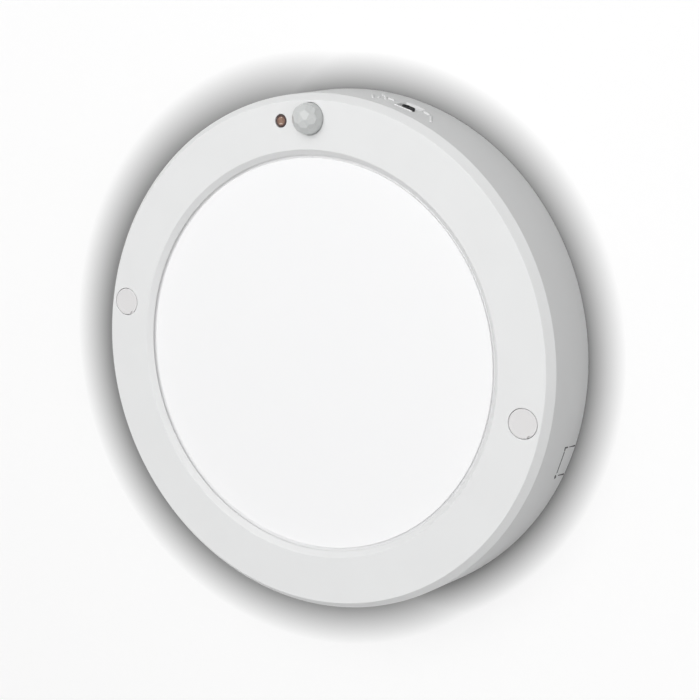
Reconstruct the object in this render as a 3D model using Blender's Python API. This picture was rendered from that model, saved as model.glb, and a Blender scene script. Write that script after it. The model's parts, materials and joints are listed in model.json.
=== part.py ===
"""Round surface-mounted ceiling light with a presence sensor, modelled piece by piece.

The light is drawn with its wall plane at height 0, its face towards +Z and its sensor towards +Y.
The empty wall_frame then stands it upright: the wall plane becomes Y = 0, the face looks along -Y
and the sensor is at the top, +Z.
"""

from math import asin, atan2, cos, pi, radians, sin

import bmesh
import bpy
from mathutils import Matrix, Vector

MM = 0.001

# Form of the ring and its skirt, from the lens outwards
DEPTH = 32.0 * MM
OPENING_LENS_RADIUS = 84.5 * MM
OPENING_SLOPE_WIDTH = 2.5 * MM
FACE_WIDTH = 20.1 * MM
CHAMFER_WIDTH = 2.9 * MM
CHAMFER_DEPTH = 3.5 * MM
SKIRT_FLARE = 2.6 * MM
FACE_WALL = 2.7 * MM
SKIRT_WALL = 2.2 * MM
INNER_CORNER = 1.0 * MM

# Fits
SEAT_GAP = 0.3 * MM
OVERRUN = 1.0 * MM
MERGE_LAP = 1.0 * MM

# Optical stack, from the lens backwards
LENS_THICKNESS = 2.0 * MM
LENS_SIDE_CLEARANCE = 0.4 * MM
GUIDE_THICKNESS = 3.0 * MM
GUIDE_MARGIN = 1.9 * MM
REFLECTOR_THICKNESS = 0.5 * MM
PAN_THICKNESS = 1.0 * MM
LED_COUNT = 30
LED_LENGTH = 3.5 * MM
LED_HEIGHT = 1.2 * MM
LED_CLEARANCE = 0.4 * MM
LED_FLANK = 0.2 * MM
STRIP_THICKNESS = 0.8 * MM

# Mounting screws, their sleeves and plugs
PLUG_INSET = 7.6 * MM
PLUG_ANGLE = radians(-9.1)
PLUG_RADIUS = 6.0 * MM
PLUG_HEAD_THICKNESS = 1.9 * MM
PLUG_STEM_RADIUS = 5.3 * MM
PLUG_STEM_WALL = 1.0 * MM
PLUG_STEM_LENGTH = 6.0 * MM
PRY_NOTCH_RADIUS = 0.9 * MM
PRY_NOTCH_ANGLE = radians(-60.0)
SLEEVE_WALL = 1.8 * MM
SLEEVE_FLOOR = 2.0 * MM
MOUNTING_SCREW_RADIUS = 2.0 * MM
MOUNTING_HEAD_RADIUS = 4.0 * MM
MOUNTING_HEAD_HEIGHT = 2.6 * MM
MOUNTING_SCREW_TIP = 0.8 * MM

# Steel bar that stays on the ceiling
BRACKET_THICKNESS = 1.5 * MM
BRACKET_WIDTH = 22.0 * MM
BRACKET_RISE = 3.0 * MM
BRACKET_RAMP = 6.0 * MM
BRACKET_END_LENGTH = 23.0 * MM
BRACKET_END_MARGIN = 7.5 * MM
BRACKET_SLOT_LENGTH = 14.0 * MM
BRACKET_SLOT_WIDTH = 5.6 * MM
BRACKET_SLOT_OFFSET = 37.0 * MM

# Screws that hold the pan to the ring
PAN_SCREW_REACH = 6.9 * MM
PAN_SCREW_ANGLE = radians(40.0)
PAN_SCREW_COUNT = 4
PAN_BOSS_RADIUS = 3.5 * MM
PAN_EAR_HALF_WIDTH = 4.6 * MM
PAN_SCREW_RADIUS = 1.5 * MM
PAN_SCREW_HEAD_RADIUS = 2.8 * MM
PAN_SCREW_HEAD_HEIGHT = 1.8 * MM
PAN_SCREW_ENGAGEMENT = 5.0 * MM

# Small screws of the electronics
SMALL_SCREW_RADIUS = 1.0 * MM
SMALL_SCREW_HEAD_RADIUS = 1.9 * MM
SMALL_SCREW_HEAD_HEIGHT = 1.2 * MM
SMALL_SCREW_ENGAGEMENT = 2.8 * MM
SMALL_BOSS_RADIUS = 2.3 * MM

# Sensor group at the top of the ring
SENSOR_INSET = 7.6 * MM
PHOTOCELL_ANGLE = radians(98.45)
DOME_OFFSET = -0.6 * MM
DOME_RADIUS = 6.5 * MM
DOME_NECK = 1.0 * MM
DOME_WALL = 0.8 * MM
DOME_FLANGE_RADIUS = 7.3 * MM
DOME_FLANGE_THICKNESS = 0.8 * MM
PIR_CAN_RADIUS = 4.1 * MM
PIR_BASE_RADIUS = 4.7 * MM
PIR_BASE_HEIGHT = 0.5 * MM
PIR_HEIGHT = 4.2 * MM
PHOTOCELL_RADIUS = 2.5 * MM
PHOTOCELL_BODY_HEIGHT = 2.2 * MM
PHOTOCELL_STEM_RADIUS = 1.2 * MM
PHOTOCELL_RECESS = 0.2 * MM
SENSOR_BOARD_STANDOFF = 2.0 * MM
SENSOR_BOARD_LEFT = 23.0 * MM
SENSOR_BOARD_RIGHT = 14.0 * MM
SENSOR_BOARD_INWARD = 5.5 * MM
SENSOR_BOARD_OUTWARD = 4.5 * MM
SENSOR_SCREW_INSET = 3.0 * MM
SENSOR_SCREW_INWARD = 1.0 * MM
BOARD_THICKNESS = 1.6 * MM

# Slide switch in the skirt
SWITCH_ANGLE = radians(70.9)
SWITCH_DEPTH = 17.0 * MM
SWITCH_TRAVEL = 2.0 * MM
KNOB_LENGTH = 2.8 * MM
KNOB_WIDTH = 2.2 * MM
KNOB_RECESS = 0.3 * MM
POCKET_LENGTH = 9.6 * MM
POCKET_WIDTH = 11.0 * MM
POCKET_DEPTH = 2.6 * MM
POCKET_SLOPE_ALONG = 1.2 * MM
POCKET_SLOPE_ACROSS = 3.0 * MM
POCKET_FLOOR = 0.8 * MM
POCKET_SHIFT = 0.6 * MM
SWITCH_BLOCK_LENGTH = 24.0 * MM
SWITCH_BLOCK_WIDTH = 13.0 * MM
SWITCH_BODY_LENGTH = 9.0 * MM
SWITCH_BODY_WIDTH = 4.6 * MM
SWITCH_BODY_HEIGHT = 3.4 * MM
SWITCH_BOARD_LENGTH = 23.0 * MM
SWITCH_BOARD_WIDTH = 11.0 * MM
SWITCH_BOARD_THICKNESS = 1.4 * MM
SWITCH_SCREW_OFFSET = 8.6 * MM

# Break-away cable entry at the rear edge of the skirt
KNOCKOUT_ANGLE = radians(-18.5)
KNOCKOUT_WIDTH = 13.5 * MM
KNOCKOUT_HEIGHT = 9.6 * MM
PERFORATION_WIDTH = 0.8 * MM
FRONT_SLOT_SHARES = ((-0.44, -0.05), (0.05, 0.44))
SIDE_SLOT_SHARES = ((0.14, 0.42), (0.54, 0.92))

# Places on the back of the pan, as shares of its inner radius
DRIVER_PLACE_SHARES = (-0.045, 0.505)
TERMINAL_PLACE_SHARES = (0.426, -0.382)
EARTH_PLACE_SHARES = (0.718, -0.112)

# LED driver
DRIVER_LENGTH = 100.0 * MM
DRIVER_WIDTH = 42.0 * MM
DRIVER_WALL = 1.2 * MM
DRIVER_BOARD_STANDOFF = 1.8 * MM
DRIVER_BOARD_MARGIN = 1.0 * MM
DRIVER_POST_RADIUS = 1.8 * MM
DRIVER_ROOM = 11.0 * MM
DRIVER_EAR_LENGTH = 7.0 * MM
DRIVER_EAR_WIDTH = 9.0 * MM
DRIVER_EAR_THICKNESS = 1.5 * MM
DRIVER_SCREW_RADIUS = 1.3 * MM
DRIVER_SCREW_HEAD_RADIUS = 2.5 * MM
DRIVER_SCREW_HEAD_HEIGHT = 1.6 * MM
WIRE_NOTCH_WIDTH = 8.0 * MM
WIRE_NOTCH_HEIGHT = 4.0 * MM

MAINS_NOTCH_INSET = 13.0 * MM

# Places across the driver board, as shares of its half width
FUSE_SHARE = -0.66
VARISTOR_SHARE = 0.70
FILTER_CAPACITOR_SHARE = -0.10
CHOKE_SHARE = 0.56
BRIDGE_SHARE = -0.60
BULK_CAPACITOR_SHARE = -0.60
CHIP_SHARE = 0.56
TRANSFORMER_SHARE = 0.0
OUTPUT_CAPACITOR_SHARE = -0.52

# Driver components
FUSE_RADIUS = 1.8 * MM
FUSE_LENGTH = 8.0 * MM
VARISTOR_RADIUS = 3.8 * MM
VARISTOR_THICKNESS = 3.4 * MM
FILTER_CAPACITOR_LENGTH = 6.0 * MM
FILTER_CAPACITOR_WIDTH = 13.0 * MM
FILTER_CAPACITOR_HEIGHT = 8.4 * MM
CHOKE_RADIUS = 5.0 * MM
CHOKE_HOLE_RADIUS = 2.0 * MM
CHOKE_HEIGHT = 7.0 * MM
BRIDGE_LENGTH = 6.4 * MM
BRIDGE_WIDTH = 8.0 * MM
BRIDGE_HEIGHT = 2.4 * MM
BULK_CAPACITOR_RADIUS = 4.4 * MM
BULK_CAPACITOR_LENGTH = 16.0 * MM
CHIP_LENGTH = 6.2 * MM
CHIP_WIDTH = 5.0 * MM
CHIP_HEIGHT = 1.6 * MM
TRANSFORMER_CORE_LENGTH = 16.0 * MM
TRANSFORMER_CORE_WIDTH = 20.0 * MM
TRANSFORMER_CORE_HEIGHT = 9.0 * MM
TRANSFORMER_WINDOW_LENGTH = 9.0 * MM
TRANSFORMER_COIL_CLEARANCE = 0.4 * MM
TRANSFORMER_COIL_LAP = 1.5 * MM
OUTPUT_CAPACITOR_RADIUS = 4.0 * MM
OUTPUT_CAPACITOR_LENGTH = 12.0 * MM

# Mains terminal block
TERMINAL_WAYS = 3
TERMINAL_PITCH = 10.0 * MM
TERMINAL_WIDTH = 16.0 * MM
TERMINAL_HEIGHT = 12.0 * MM
TERMINAL_BORE_RADIUS = 2.0 * MM
TERMINAL_BORE_HEIGHT = 5.0 * MM
TERMINAL_WELL_RADIUS = 2.2 * MM
TERMINAL_SCREW_RADIUS = 1.9 * MM
TERMINAL_SCREW_HEIGHT = 2.4 * MM
TERMINAL_SCREW_SINK = 1.2 * MM

# Earth point on the pan
EARTH_SCREW_RADIUS = 1.6 * MM
EARTH_HEAD_RADIUS = 3.4 * MM
EARTH_HEAD_HEIGHT = 2.2 * MM

# Wires
WIRE_RADIUS = 0.8 * MM
SENSOR_CABLE_RADIUS = 1.3 * MM
SWITCH_CABLE_RADIUS = 0.9 * MM
WIRE_STEP_SHARE = 2.6
WIRE_END = 4.0 * MM
WIRE_LAY = 5.0 * MM
SWITCH_CABLE_SAG_SHARE = 0.25
SWITCH_CABLE_END_SHARE = 0.33
LED_WIRE_PITCH = 2.4 * MM
LED_WIRE_LOOP = 3.6 * MM
MAINS_WIRE_PITCH = 4.0 * MM

# Facets of the round pieces
RING_SEGMENTS = 96
DOME_SEGMENTS = 24
DOME_RINGS = 7
HOLE_SEGMENTS = 24
POST_SEGMENTS = 16
SCREW_SEGMENTS = 12
SLOT_SEGMENTS = 6
WIRE_RESOLUTION = 2
SMOOTH_ANGLE = radians(35.0)

# Heights above the wall plane that several pieces share
FACE_BACK = DEPTH - FACE_WALL
LENS_FRONT = FACE_BACK - SEAT_GAP
LENS_BACK = LENS_FRONT - LENS_THICKNESS
GUIDE_FRONT = LENS_BACK - SEAT_GAP
GUIDE_BACK = GUIDE_FRONT - GUIDE_THICKNESS
REFLECTOR_FRONT = GUIDE_BACK - SEAT_GAP
REFLECTOR_BACK = REFLECTOR_FRONT - REFLECTOR_THICKNESS
PAN_FRONT = REFLECTOR_BACK - SEAT_GAP
PAN_BACK = PAN_FRONT - PAN_THICKNESS
MOUNTED_FRONT = PAN_BACK - SEAT_GAP
BRACKET_END_TOP = BRACKET_RISE + BRACKET_THICKNESS
SLEEVE_END = BRACKET_END_TOP + SEAT_GAP
PLUG_SEAT = DEPTH - PLUG_HEAD_THICKNESS - SEAT_GAP
SENSOR_BOARD_FRONT = FACE_BACK - SENSOR_BOARD_STANDOFF
SENSOR_BOARD_BACK = SENSOR_BOARD_FRONT - BOARD_THICKNESS
TRAY_BACK = MOUNTED_FRONT - DRIVER_WALL
DRIVER_BOARD_FRONT = TRAY_BACK - DRIVER_BOARD_STANDOFF - SEAT_GAP
DRIVER_BOARD_BACK = DRIVER_BOARD_FRONT - BOARD_THICKNESS
COMPONENT_FRONT = DRIVER_BOARD_BACK - SEAT_GAP
COVER_ROOF_FRONT = DRIVER_BOARD_BACK - DRIVER_ROOM
COVER_BACK = COVER_ROOF_FRONT - DRIVER_WALL
DRIVER_WIRE_HEIGHT = DRIVER_BOARD_BACK - SEAT_GAP - WIRE_RADIUS

# Radii of the ring
OPENING_FACE_RADIUS = OPENING_LENS_RADIUS + OPENING_SLOPE_WIDTH
FACE_RADIUS = OPENING_FACE_RADIUS + FACE_WIDTH
SHOULDER_RADIUS = FACE_RADIUS + CHAMFER_WIDTH
REAR_RADIUS = SHOULDER_RADIUS + SKIRT_FLARE
PLUG_CIRCLE_RADIUS = FACE_RADIUS - PLUG_INSET
SENSOR_CIRCLE_RADIUS = FACE_RADIUS - SENSOR_INSET

# Radii of the optical stack and of the screw sleeves
GUIDE_RADIUS = OPENING_LENS_RADIUS + GUIDE_MARGIN
LED_FACE_RADIUS = GUIDE_RADIUS + LED_CLEARANCE
STRIP_INNER_RADIUS = LED_FACE_RADIUS + LED_HEIGHT
STRIP_OUTER_RADIUS = STRIP_INNER_RADIUS + STRIP_THICKNESS
PAN_RIM_INNER = STRIP_OUTER_RADIUS + SEAT_GAP
PAN_RIM_OUTER = PAN_RIM_INNER + PAN_THICKNESS
PAN_SCREW_CIRCLE_RADIUS = PAN_RIM_OUTER + PAN_SCREW_REACH
LENS_RADIUS = PAN_RIM_INNER - LENS_SIDE_CLEARANCE
DRIVER_X, DRIVER_Y = [share * PAN_RIM_INNER for share in DRIVER_PLACE_SHARES]
TERMINAL_X, TERMINAL_Y = [share * PAN_RIM_INNER for share in TERMINAL_PLACE_SHARES]
EARTH_X, EARTH_Y = [share * PAN_RIM_INNER for share in EARTH_PLACE_SHARES]
SLEEVE_BORE_RADIUS = PLUG_STEM_RADIUS + SEAT_GAP
SLEEVE_RADIUS = SLEEVE_BORE_RADIUS + SLEEVE_WALL

# Heights in the switch frame, whose zero is the skin of the skirt
POCKET_BACK = -POCKET_DEPTH - POCKET_FLOOR
SWITCH_BODY_FRONT = POCKET_BACK - SEAT_GAP
SWITCH_BODY_BACK = SWITCH_BODY_FRONT - SWITCH_BODY_HEIGHT
SWITCH_BOARD_FRONT = SWITCH_BODY_BACK - SEAT_GAP
SWITCH_BOARD_BACK = SWITCH_BOARD_FRONT - SWITCH_BOARD_THICKNESS
SWITCH_POST_END = SWITCH_BOARD_FRONT + SEAT_GAP

# Colours: red, green, blue, roughness, metallic
FINISHES = {
    "white_plastic": ((0.83, 0.84, 0.84), 0.42, 0.0),
    "plug_plastic": ((0.78, 0.77, 0.77), 0.48, 0.0),
    "opal_plastic": ((0.97, 0.97, 0.98), 0.35, 0.0),
    "clear_acrylic": ((0.88, 0.92, 0.93), 0.08, 0.0),
    "reflector_film": ((0.95, 0.95, 0.94), 0.55, 0.0),
    "aluminium_sheet": ((0.78, 0.79, 0.80), 0.38, 1.0),
    "zinc_steel": ((0.62, 0.63, 0.64), 0.36, 1.0),
    "brass": ((0.72, 0.56, 0.28), 0.32, 1.0),
    "board_green": ((0.06, 0.24, 0.12), 0.45, 0.0),
    "strip_white": ((0.90, 0.89, 0.82), 0.50, 0.0),
    "black_plastic": ((0.03, 0.03, 0.03), 0.40, 0.0),
    "grey_plastic": ((0.45, 0.46, 0.47), 0.50, 0.0),
    "dome_plastic": ((0.66, 0.67, 0.67), 0.28, 0.0),
    "photocell_copper": ((0.43, 0.28, 0.22), 0.40, 0.0),
    "fuse_glass": ((0.75, 0.80, 0.80), 0.12, 0.0),
    "varistor_blue": ((0.08, 0.22, 0.50), 0.42, 0.0),
    "film_yellow": ((0.78, 0.62, 0.16), 0.40, 0.0),
    "ferrite": ((0.10, 0.10, 0.11), 0.60, 0.0),
    "live_brown": ((0.26, 0.13, 0.06), 0.45, 0.0),
    "neutral_blue": ((0.06, 0.20, 0.52), 0.45, 0.0),
    "earth_green": ((0.16, 0.45, 0.10), 0.45, 0.0),
    "wire_red": ((0.60, 0.05, 0.04), 0.45, 0.0),
    "wire_black": ((0.02, 0.02, 0.02), 0.45, 0.0),
    "wire_grey": ((0.55, 0.55, 0.56), 0.50, 0.0),
}


def clear_scene():
    for item in list(bpy.data.objects):
        bpy.data.objects.remove(item, do_unlink=True)


def finish(name):
    """One material for each finish, made the first time it is asked for."""
    made = bpy.data.materials.get(name)
    if made:
        return made
    colour, roughness, metallic = FINISHES[name]
    made = bpy.data.materials.new(name)
    made.use_nodes = True
    shader = made.node_tree.nodes["Principled BSDF"]
    shader.inputs["Base Color"].default_value = (*colour, 1.0)
    shader.inputs["Roughness"].default_value = roughness
    shader.inputs["Metallic"].default_value = metallic
    made.diffuse_color = (*colour, 1.0)
    return made


def frame(name, parent=None, matrix=None):
    """An empty that other pieces are placed in."""
    empty = bpy.data.objects.new(name, None)
    bpy.context.collection.objects.link(empty)
    empty.parent = parent
    if matrix:
        empty.matrix_basis = matrix
    return empty


def piece(name, bm, finish_name, parent, place=(0, 0, 0), turn=0.0):
    """Turn a finished bmesh into a named object in its frame."""
    bmesh.ops.recalc_face_normals(bm, faces=bm.faces[:])
    mesh = bpy.data.meshes.new(name)
    bm.to_mesh(mesh)
    bm.free()
    mesh.shade_smooth()
    mesh.set_sharp_from_angle(angle=SMOOTH_ANGLE)
    made = bpy.data.objects.new(name, mesh)
    bpy.context.collection.objects.link(made)
    made.parent = parent
    made.location = place
    made.rotation_euler = (0, 0, turn)
    if finish_name:
        mesh.materials.append(finish(finish_name))
    return made


def operand(name, bm, parent, place=(0, 0, 0), turn=0.0):
    """A shape that only adds to or cuts another piece."""
    made = piece(name, bm, None, parent, place, turn)
    made.hide_render = True
    made.display_type = "WIRE"
    return made


def combine(target, other, operation):
    step = target.modifiers.new(other.name, "BOOLEAN")
    step.operation = operation
    step.object = other
    step.solver = "EXACT"


def turned(bm, profile, segments, closed=False, centre=(0, 0)):
    """Spin (radius, height) points round an upright axis; an open profile ends on flat caps."""
    x, y = centre
    points = [bm.verts.new((x + radius, y, height)) for radius, height in profile]
    edges = [bm.edges.new(pair) for pair in zip(points, points[1:])]
    if closed:
        edges.append(bm.edges.new((points[-1], points[0])))
    spin = {"cent": (x, y, 0), "axis": (0, 0, 1), "angle": 2 * pi, "steps": segments}
    bmesh.ops.spin(bm, geom=points + edges, use_merge=True, **spin)
    if not closed:
        open_edges = [edge for edge in bm.edges if edge.is_boundary]
        bmesh.ops.holes_fill(bm, edges=open_edges, sides=segments)


def cylinder(bm, radius, low, high, centre=(0, 0), segments=POST_SEGMENTS):
    middle = Matrix.Translation((*centre, (low + high) / 2))
    size = {"radius1": radius, "radius2": radius, "depth": high - low}
    bmesh.ops.create_cone(bm, cap_ends=True, segments=segments, matrix=middle, **size)


def lying_cylinder(bm, radius, length):
    """A cylinder along X that lies against the plane of height 0 from below."""
    matrix = Matrix.Translation((0, 0, -radius)) @ Matrix.Rotation(pi / 2, 4, "Y")
    size = {"radius1": radius, "radius2": radius, "depth": length}
    bmesh.ops.create_cone(bm, cap_ends=True, segments=POST_SEGMENTS, matrix=matrix, **size)


def block(bm, low, high):
    """A box between two opposite corners."""
    low, high = Vector(low), Vector(high)
    size = high - low
    matrix = Matrix.Translation((low + high) / 2) @ Matrix.Diagonal((*size, 1.0))
    bmesh.ops.create_cube(bm, size=1.0, matrix=matrix)


def centred_block(bm, length, width, low, high, centre=(0, 0)):
    x, y = centre
    block(bm, (x - length / 2, y - width / 2, low), (x + length / 2, y + width / 2, high))


def slab(bm, outline, low, high):
    """A flat outline pushed up from one height to another."""
    base = bm.faces.new([bm.verts.new((x, y, low)) for x, y in outline])
    pushed = bmesh.ops.extrude_face_region(bm, geom=[base])["geom"]
    raised = [part for part in pushed if isinstance(part, bmesh.types.BMVert)]
    bmesh.ops.translate(bm, vec=(0, 0, high - low), verts=raised)


def rounded_bar(half_length, radius, centre_x):
    """Outline of a slot along X: two half rounds joined by straight sides."""
    outline = []
    for side, start in ((1, -pi / 2), (-1, pi / 2)):
        for step in range(SLOT_SEGMENTS + 1):
            angle = start + pi * step / SLOT_SEGMENTS
            x = centre_x + side * half_length + radius * cos(angle)
            outline.append((x, radius * sin(angle)))
    return outline


def polar(radius, angle):
    return (radius * cos(angle), radius * sin(angle))


def ring_angles(first, count):
    return [first + 2 * pi * step / count for step in range(count)]


def skirt_radius(height):
    """Outer radius of the skirt at a height above the wall plane."""
    share = height / (DEPTH - CHAMFER_DEPTH)
    return REAR_RADIUS + (SHOULDER_RADIUS - REAR_RADIUS) * share


def skirt_frame(name, parent, angle, height):
    """A frame on the skirt: X runs clockwise along it, Y to the wall, Z straight out of the skin."""
    slope = atan2(REAR_RADIUS - SHOULDER_RADIUS, DEPTH - CHAMFER_DEPTH)
    out = Vector((cos(angle) * cos(slope), sin(angle) * cos(slope), sin(slope)))
    along = Vector((sin(angle), -cos(angle), 0))
    across = out.cross(along)
    turn = Matrix((along, across, out)).transposed().to_4x4()
    place = Vector((*polar(skirt_radius(height), angle), height))
    return frame(name, parent, Matrix.Translation(place) @ turn)


def screw(name, finish_name, parent, place, radius, length, head_radius, head_height, seat, direction):
    """A screw whose shank runs from under its head, in the given direction along Z."""
    profile = [
        (radius, seat + direction * length),
        (radius, seat),
        (head_radius, seat),
        (head_radius, seat - direction * head_height),
    ]
    bm = bmesh.new()
    turned(bm, profile, SCREW_SEGMENTS)
    return piece(name, bm, finish_name, parent, (*place, 0))


def smooth_route(points, step):
    """Points along a smooth curve through the route's own points, straight at both ends."""
    points = [Vector(point) for point in points]
    lead_in = (points[0] + points[1]) / 2
    lead_out = (points[-1] + points[-2]) / 2
    points = [points[0], lead_in, *points[1:-1], lead_out, points[-1]]
    padded = [2 * points[0] - points[1], *points, 2 * points[-1] - points[-2]]
    route = []
    for before, start, end, after in zip(padded, padded[1:], padded[2:], padded[3:]):
        count = max(1, round((end - start).length / step))
        for index in range(count):
            t = index / count
            pull = (end - before) * t + (2 * before - 5 * start + 4 * end - after) * t * t
            pull += (3 * start - before - 3 * end + after) * t * t * t
            route.append(start + pull / 2)
    return [*route, points[-1]]


def wire(name, points, radius, finish_name, parent):
    """A round lead laid along a route."""
    route = smooth_route(points, WIRE_STEP_SHARE * 2 * radius)
    curve = bpy.data.curves.new(name, "CURVE")
    curve.dimensions = "3D"
    curve.bevel_depth = radius
    curve.bevel_resolution = WIRE_RESOLUTION
    curve.use_fill_caps = True
    spline = curve.splines.new("POLY")
    spline.points.add(len(route) - 1)
    for target, point in zip(spline.points, route):
        target.co = (*point, 1.0)
    curve.materials.append(finish(finish_name))
    made = bpy.data.objects.new(name, curve)
    bpy.context.collection.objects.link(made)
    made.parent = parent
    return made


# Front housing


def housing_shell():
    """Ring face, lens lip, chamfer and skirt as one turned wall."""
    profile = [
        (REAR_RADIUS, 0),
        (SHOULDER_RADIUS, DEPTH - CHAMFER_DEPTH),
        (FACE_RADIUS, DEPTH),
        (OPENING_FACE_RADIUS, DEPTH),
        (OPENING_LENS_RADIUS, FACE_BACK),
        (SHOULDER_RADIUS - SKIRT_WALL - INNER_CORNER, FACE_BACK),
        (SHOULDER_RADIUS - SKIRT_WALL, FACE_BACK - INNER_CORNER),
        (REAR_RADIUS - SKIRT_WALL, 0),
    ]
    bm = bmesh.new()
    turned(bm, profile, RING_SEGMENTS, closed=True)
    return bm


def plug_places():
    return [polar(PLUG_CIRCLE_RADIUS, angle) for angle in ring_angles(PLUG_ANGLE, 2)]


def pan_screw_angles():
    return ring_angles(PAN_SCREW_ANGLE, PAN_SCREW_COUNT)


def sensor_screw_places():
    y = SENSOR_CIRCLE_RADIUS - SENSOR_SCREW_INWARD
    left = -SENSOR_BOARD_LEFT + SENSOR_SCREW_INSET
    right = SENSOR_BOARD_RIGHT - SENSOR_SCREW_INSET
    return [(left, y), (right, y)]


def housing_posts():
    """Screw sleeves and bosses that grow from the back of the face."""
    top = FACE_BACK + MERGE_LAP
    bm = bmesh.new()
    for place in plug_places():
        cylinder(bm, SLEEVE_RADIUS, SLEEVE_END, top, place, HOLE_SEGMENTS)
    for angle in pan_screw_angles():
        place = polar(PAN_SCREW_CIRCLE_RADIUS, angle)
        cylinder(bm, PAN_BOSS_RADIUS, PAN_FRONT + SEAT_GAP, top, place)
    for place in sensor_screw_places():
        cylinder(bm, SMALL_BOSS_RADIUS, SENSOR_BOARD_FRONT + SEAT_GAP, top, place)
    return bm


def switch_block():
    """Thickening of the skirt behind the switch pocket."""
    root = -SKIRT_WALL + MERGE_LAP
    bm = bmesh.new()
    centred_block(bm, SWITCH_BLOCK_LENGTH, SWITCH_BLOCK_WIDTH, POCKET_BACK, root)
    return bm


def switch_posts():
    """Two posts that carry the switch board."""
    bm = bmesh.new()
    for side in (-1, 1):
        place = (side * SWITCH_SCREW_OFFSET, 0)
        cylinder(bm, SMALL_BOSS_RADIUS, SWITCH_POST_END, POCKET_BACK + MERGE_LAP, place)
    return bm


def housing_holes():
    """Sleeve bores, sensor holes and the pilot holes of the bosses."""
    front = DEPTH + OVERRUN
    bm = bmesh.new()
    bore = [
        (MOUNTING_SCREW_RADIUS + SEAT_GAP, SLEEVE_END - OVERRUN),
        (MOUNTING_SCREW_RADIUS + SEAT_GAP, SLEEVE_END + SLEEVE_FLOOR),
        (SLEEVE_BORE_RADIUS, SLEEVE_END + SLEEVE_FLOOR),
        (SLEEVE_BORE_RADIUS, PLUG_SEAT),
        (PLUG_RADIUS + SEAT_GAP, PLUG_SEAT),
        (PLUG_RADIUS + SEAT_GAP, front),
    ]
    for place in plug_places():
        turned(bm, bore, HOLE_SEGMENTS, centre=place)
    low = FACE_BACK - OVERRUN
    cylinder(bm, DOME_RADIUS + SEAT_GAP, low, front, (DOME_OFFSET, SENSOR_CIRCLE_RADIUS), HOLE_SEGMENTS)
    cell = polar(SENSOR_CIRCLE_RADIUS, PHOTOCELL_ANGLE)
    cylinder(bm, PHOTOCELL_RADIUS + SEAT_GAP, low, front, cell, HOLE_SEGMENTS)
    for angle in pan_screw_angles():
        low = PAN_FRONT - OVERRUN
        high = PAN_FRONT + PAN_SCREW_ENGAGEMENT + SEAT_GAP
        place = polar(PAN_SCREW_CIRCLE_RADIUS, angle)
        cylinder(bm, PAN_SCREW_RADIUS + SEAT_GAP, low, high, place, SCREW_SEGMENTS)
    for place in sensor_screw_places():
        low = SENSOR_BOARD_FRONT - OVERRUN
        high = SENSOR_BOARD_FRONT + SMALL_SCREW_ENGAGEMENT + SEAT_GAP
        cylinder(bm, SMALL_SCREW_RADIUS + SEAT_GAP, low, high, place, SCREW_SEGMENTS)
    return bm


def pocket_cut():
    """Scooped pocket whose four walls slope down to its floor."""
    levels = (OVERRUN, -OVERRUN / POCKET_DEPTH), (-POCKET_DEPTH, 1)
    rings = []
    bm = bmesh.new()
    for height, share in levels:
        half_length = POCKET_LENGTH / 2 - POCKET_SLOPE_ALONG * share
        half_width = POCKET_WIDTH / 2 - POCKET_SLOPE_ACROSS * share
        corners = ((-1, -1), (1, -1), (1, 1), (-1, 1))
        points = [(POCKET_SHIFT + x * half_length, y * half_width, height) for x, y in corners]
        rings.append([bm.verts.new(point) for point in points])
    top, bottom = rings
    bm.faces.new(bottom)
    bm.faces.new(top)
    for index in range(4):
        after = (index + 1) % 4
        bm.faces.new((bottom[index], bottom[after], top[after], top[index]))
    return bm


def switch_cuts():
    """Slot for the knob and pilot holes for the switch board's screws."""
    bm = bmesh.new()
    length = KNOB_LENGTH + SWITCH_TRAVEL + 2 * SEAT_GAP
    width = KNOB_WIDTH + 2 * SEAT_GAP
    centred_block(bm, length, width, POCKET_BACK - OVERRUN, -POCKET_DEPTH + OVERRUN)
    for side in (-1, 1):
        place = (side * SWITCH_SCREW_OFFSET, 0)
        low = SWITCH_POST_END - OVERRUN
        high = SWITCH_BOARD_FRONT + SMALL_SCREW_ENGAGEMENT + SEAT_GAP
        cylinder(bm, SMALL_SCREW_RADIUS + SEAT_GAP, low, high, place, SCREW_SEGMENTS)
    return bm


def knockout_cuts():
    """Slots that perforate the skirt round the cable entry; short bridges stay between them."""
    low = -SKIRT_WALL - OVERRUN
    thin = PERFORATION_WIDTH / 2
    bm = bmesh.new()
    for start, end in FRONT_SLOT_SHARES:
        across = -KNOCKOUT_HEIGHT
        corner = (start * KNOCKOUT_WIDTH, across - thin, low)
        block(bm, corner, (end * KNOCKOUT_WIDTH, across + thin, OVERRUN))
    for side in (-1, 1):
        along = side * KNOCKOUT_WIDTH / 2
        for start, end in SIDE_SLOT_SHARES:
            corner = (along - thin, -end * KNOCKOUT_HEIGHT, low)
            block(bm, corner, (along + thin, -start * KNOCKOUT_HEIGHT, OVERRUN))
    return bm


def front_housing(wall, switch, knockout):
    made = piece("front_housing", housing_shell(), "white_plastic", wall)
    combine(made, operand("housing_posts", housing_posts(), wall), "UNION")
    combine(made, operand("switch_block", switch_block(), switch), "UNION")
    combine(made, operand("switch_posts", switch_posts(), switch), "UNION")
    combine(made, operand("housing_holes", housing_holes(), wall), "DIFFERENCE")
    combine(made, operand("pocket_cut", pocket_cut(), switch), "DIFFERENCE")
    combine(made, operand("switch_cuts", switch_cuts(), switch), "DIFFERENCE")
    combine(made, operand("knockout_cuts", knockout_cuts(), knockout), "DIFFERENCE")


# Optical stack


def disc(name, radius, low, high, finish_name, wall):
    bm = bmesh.new()
    turned(bm, [(radius, low), (radius, high)], RING_SEGMENTS)
    return piece(name, bm, finish_name, wall)


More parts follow.
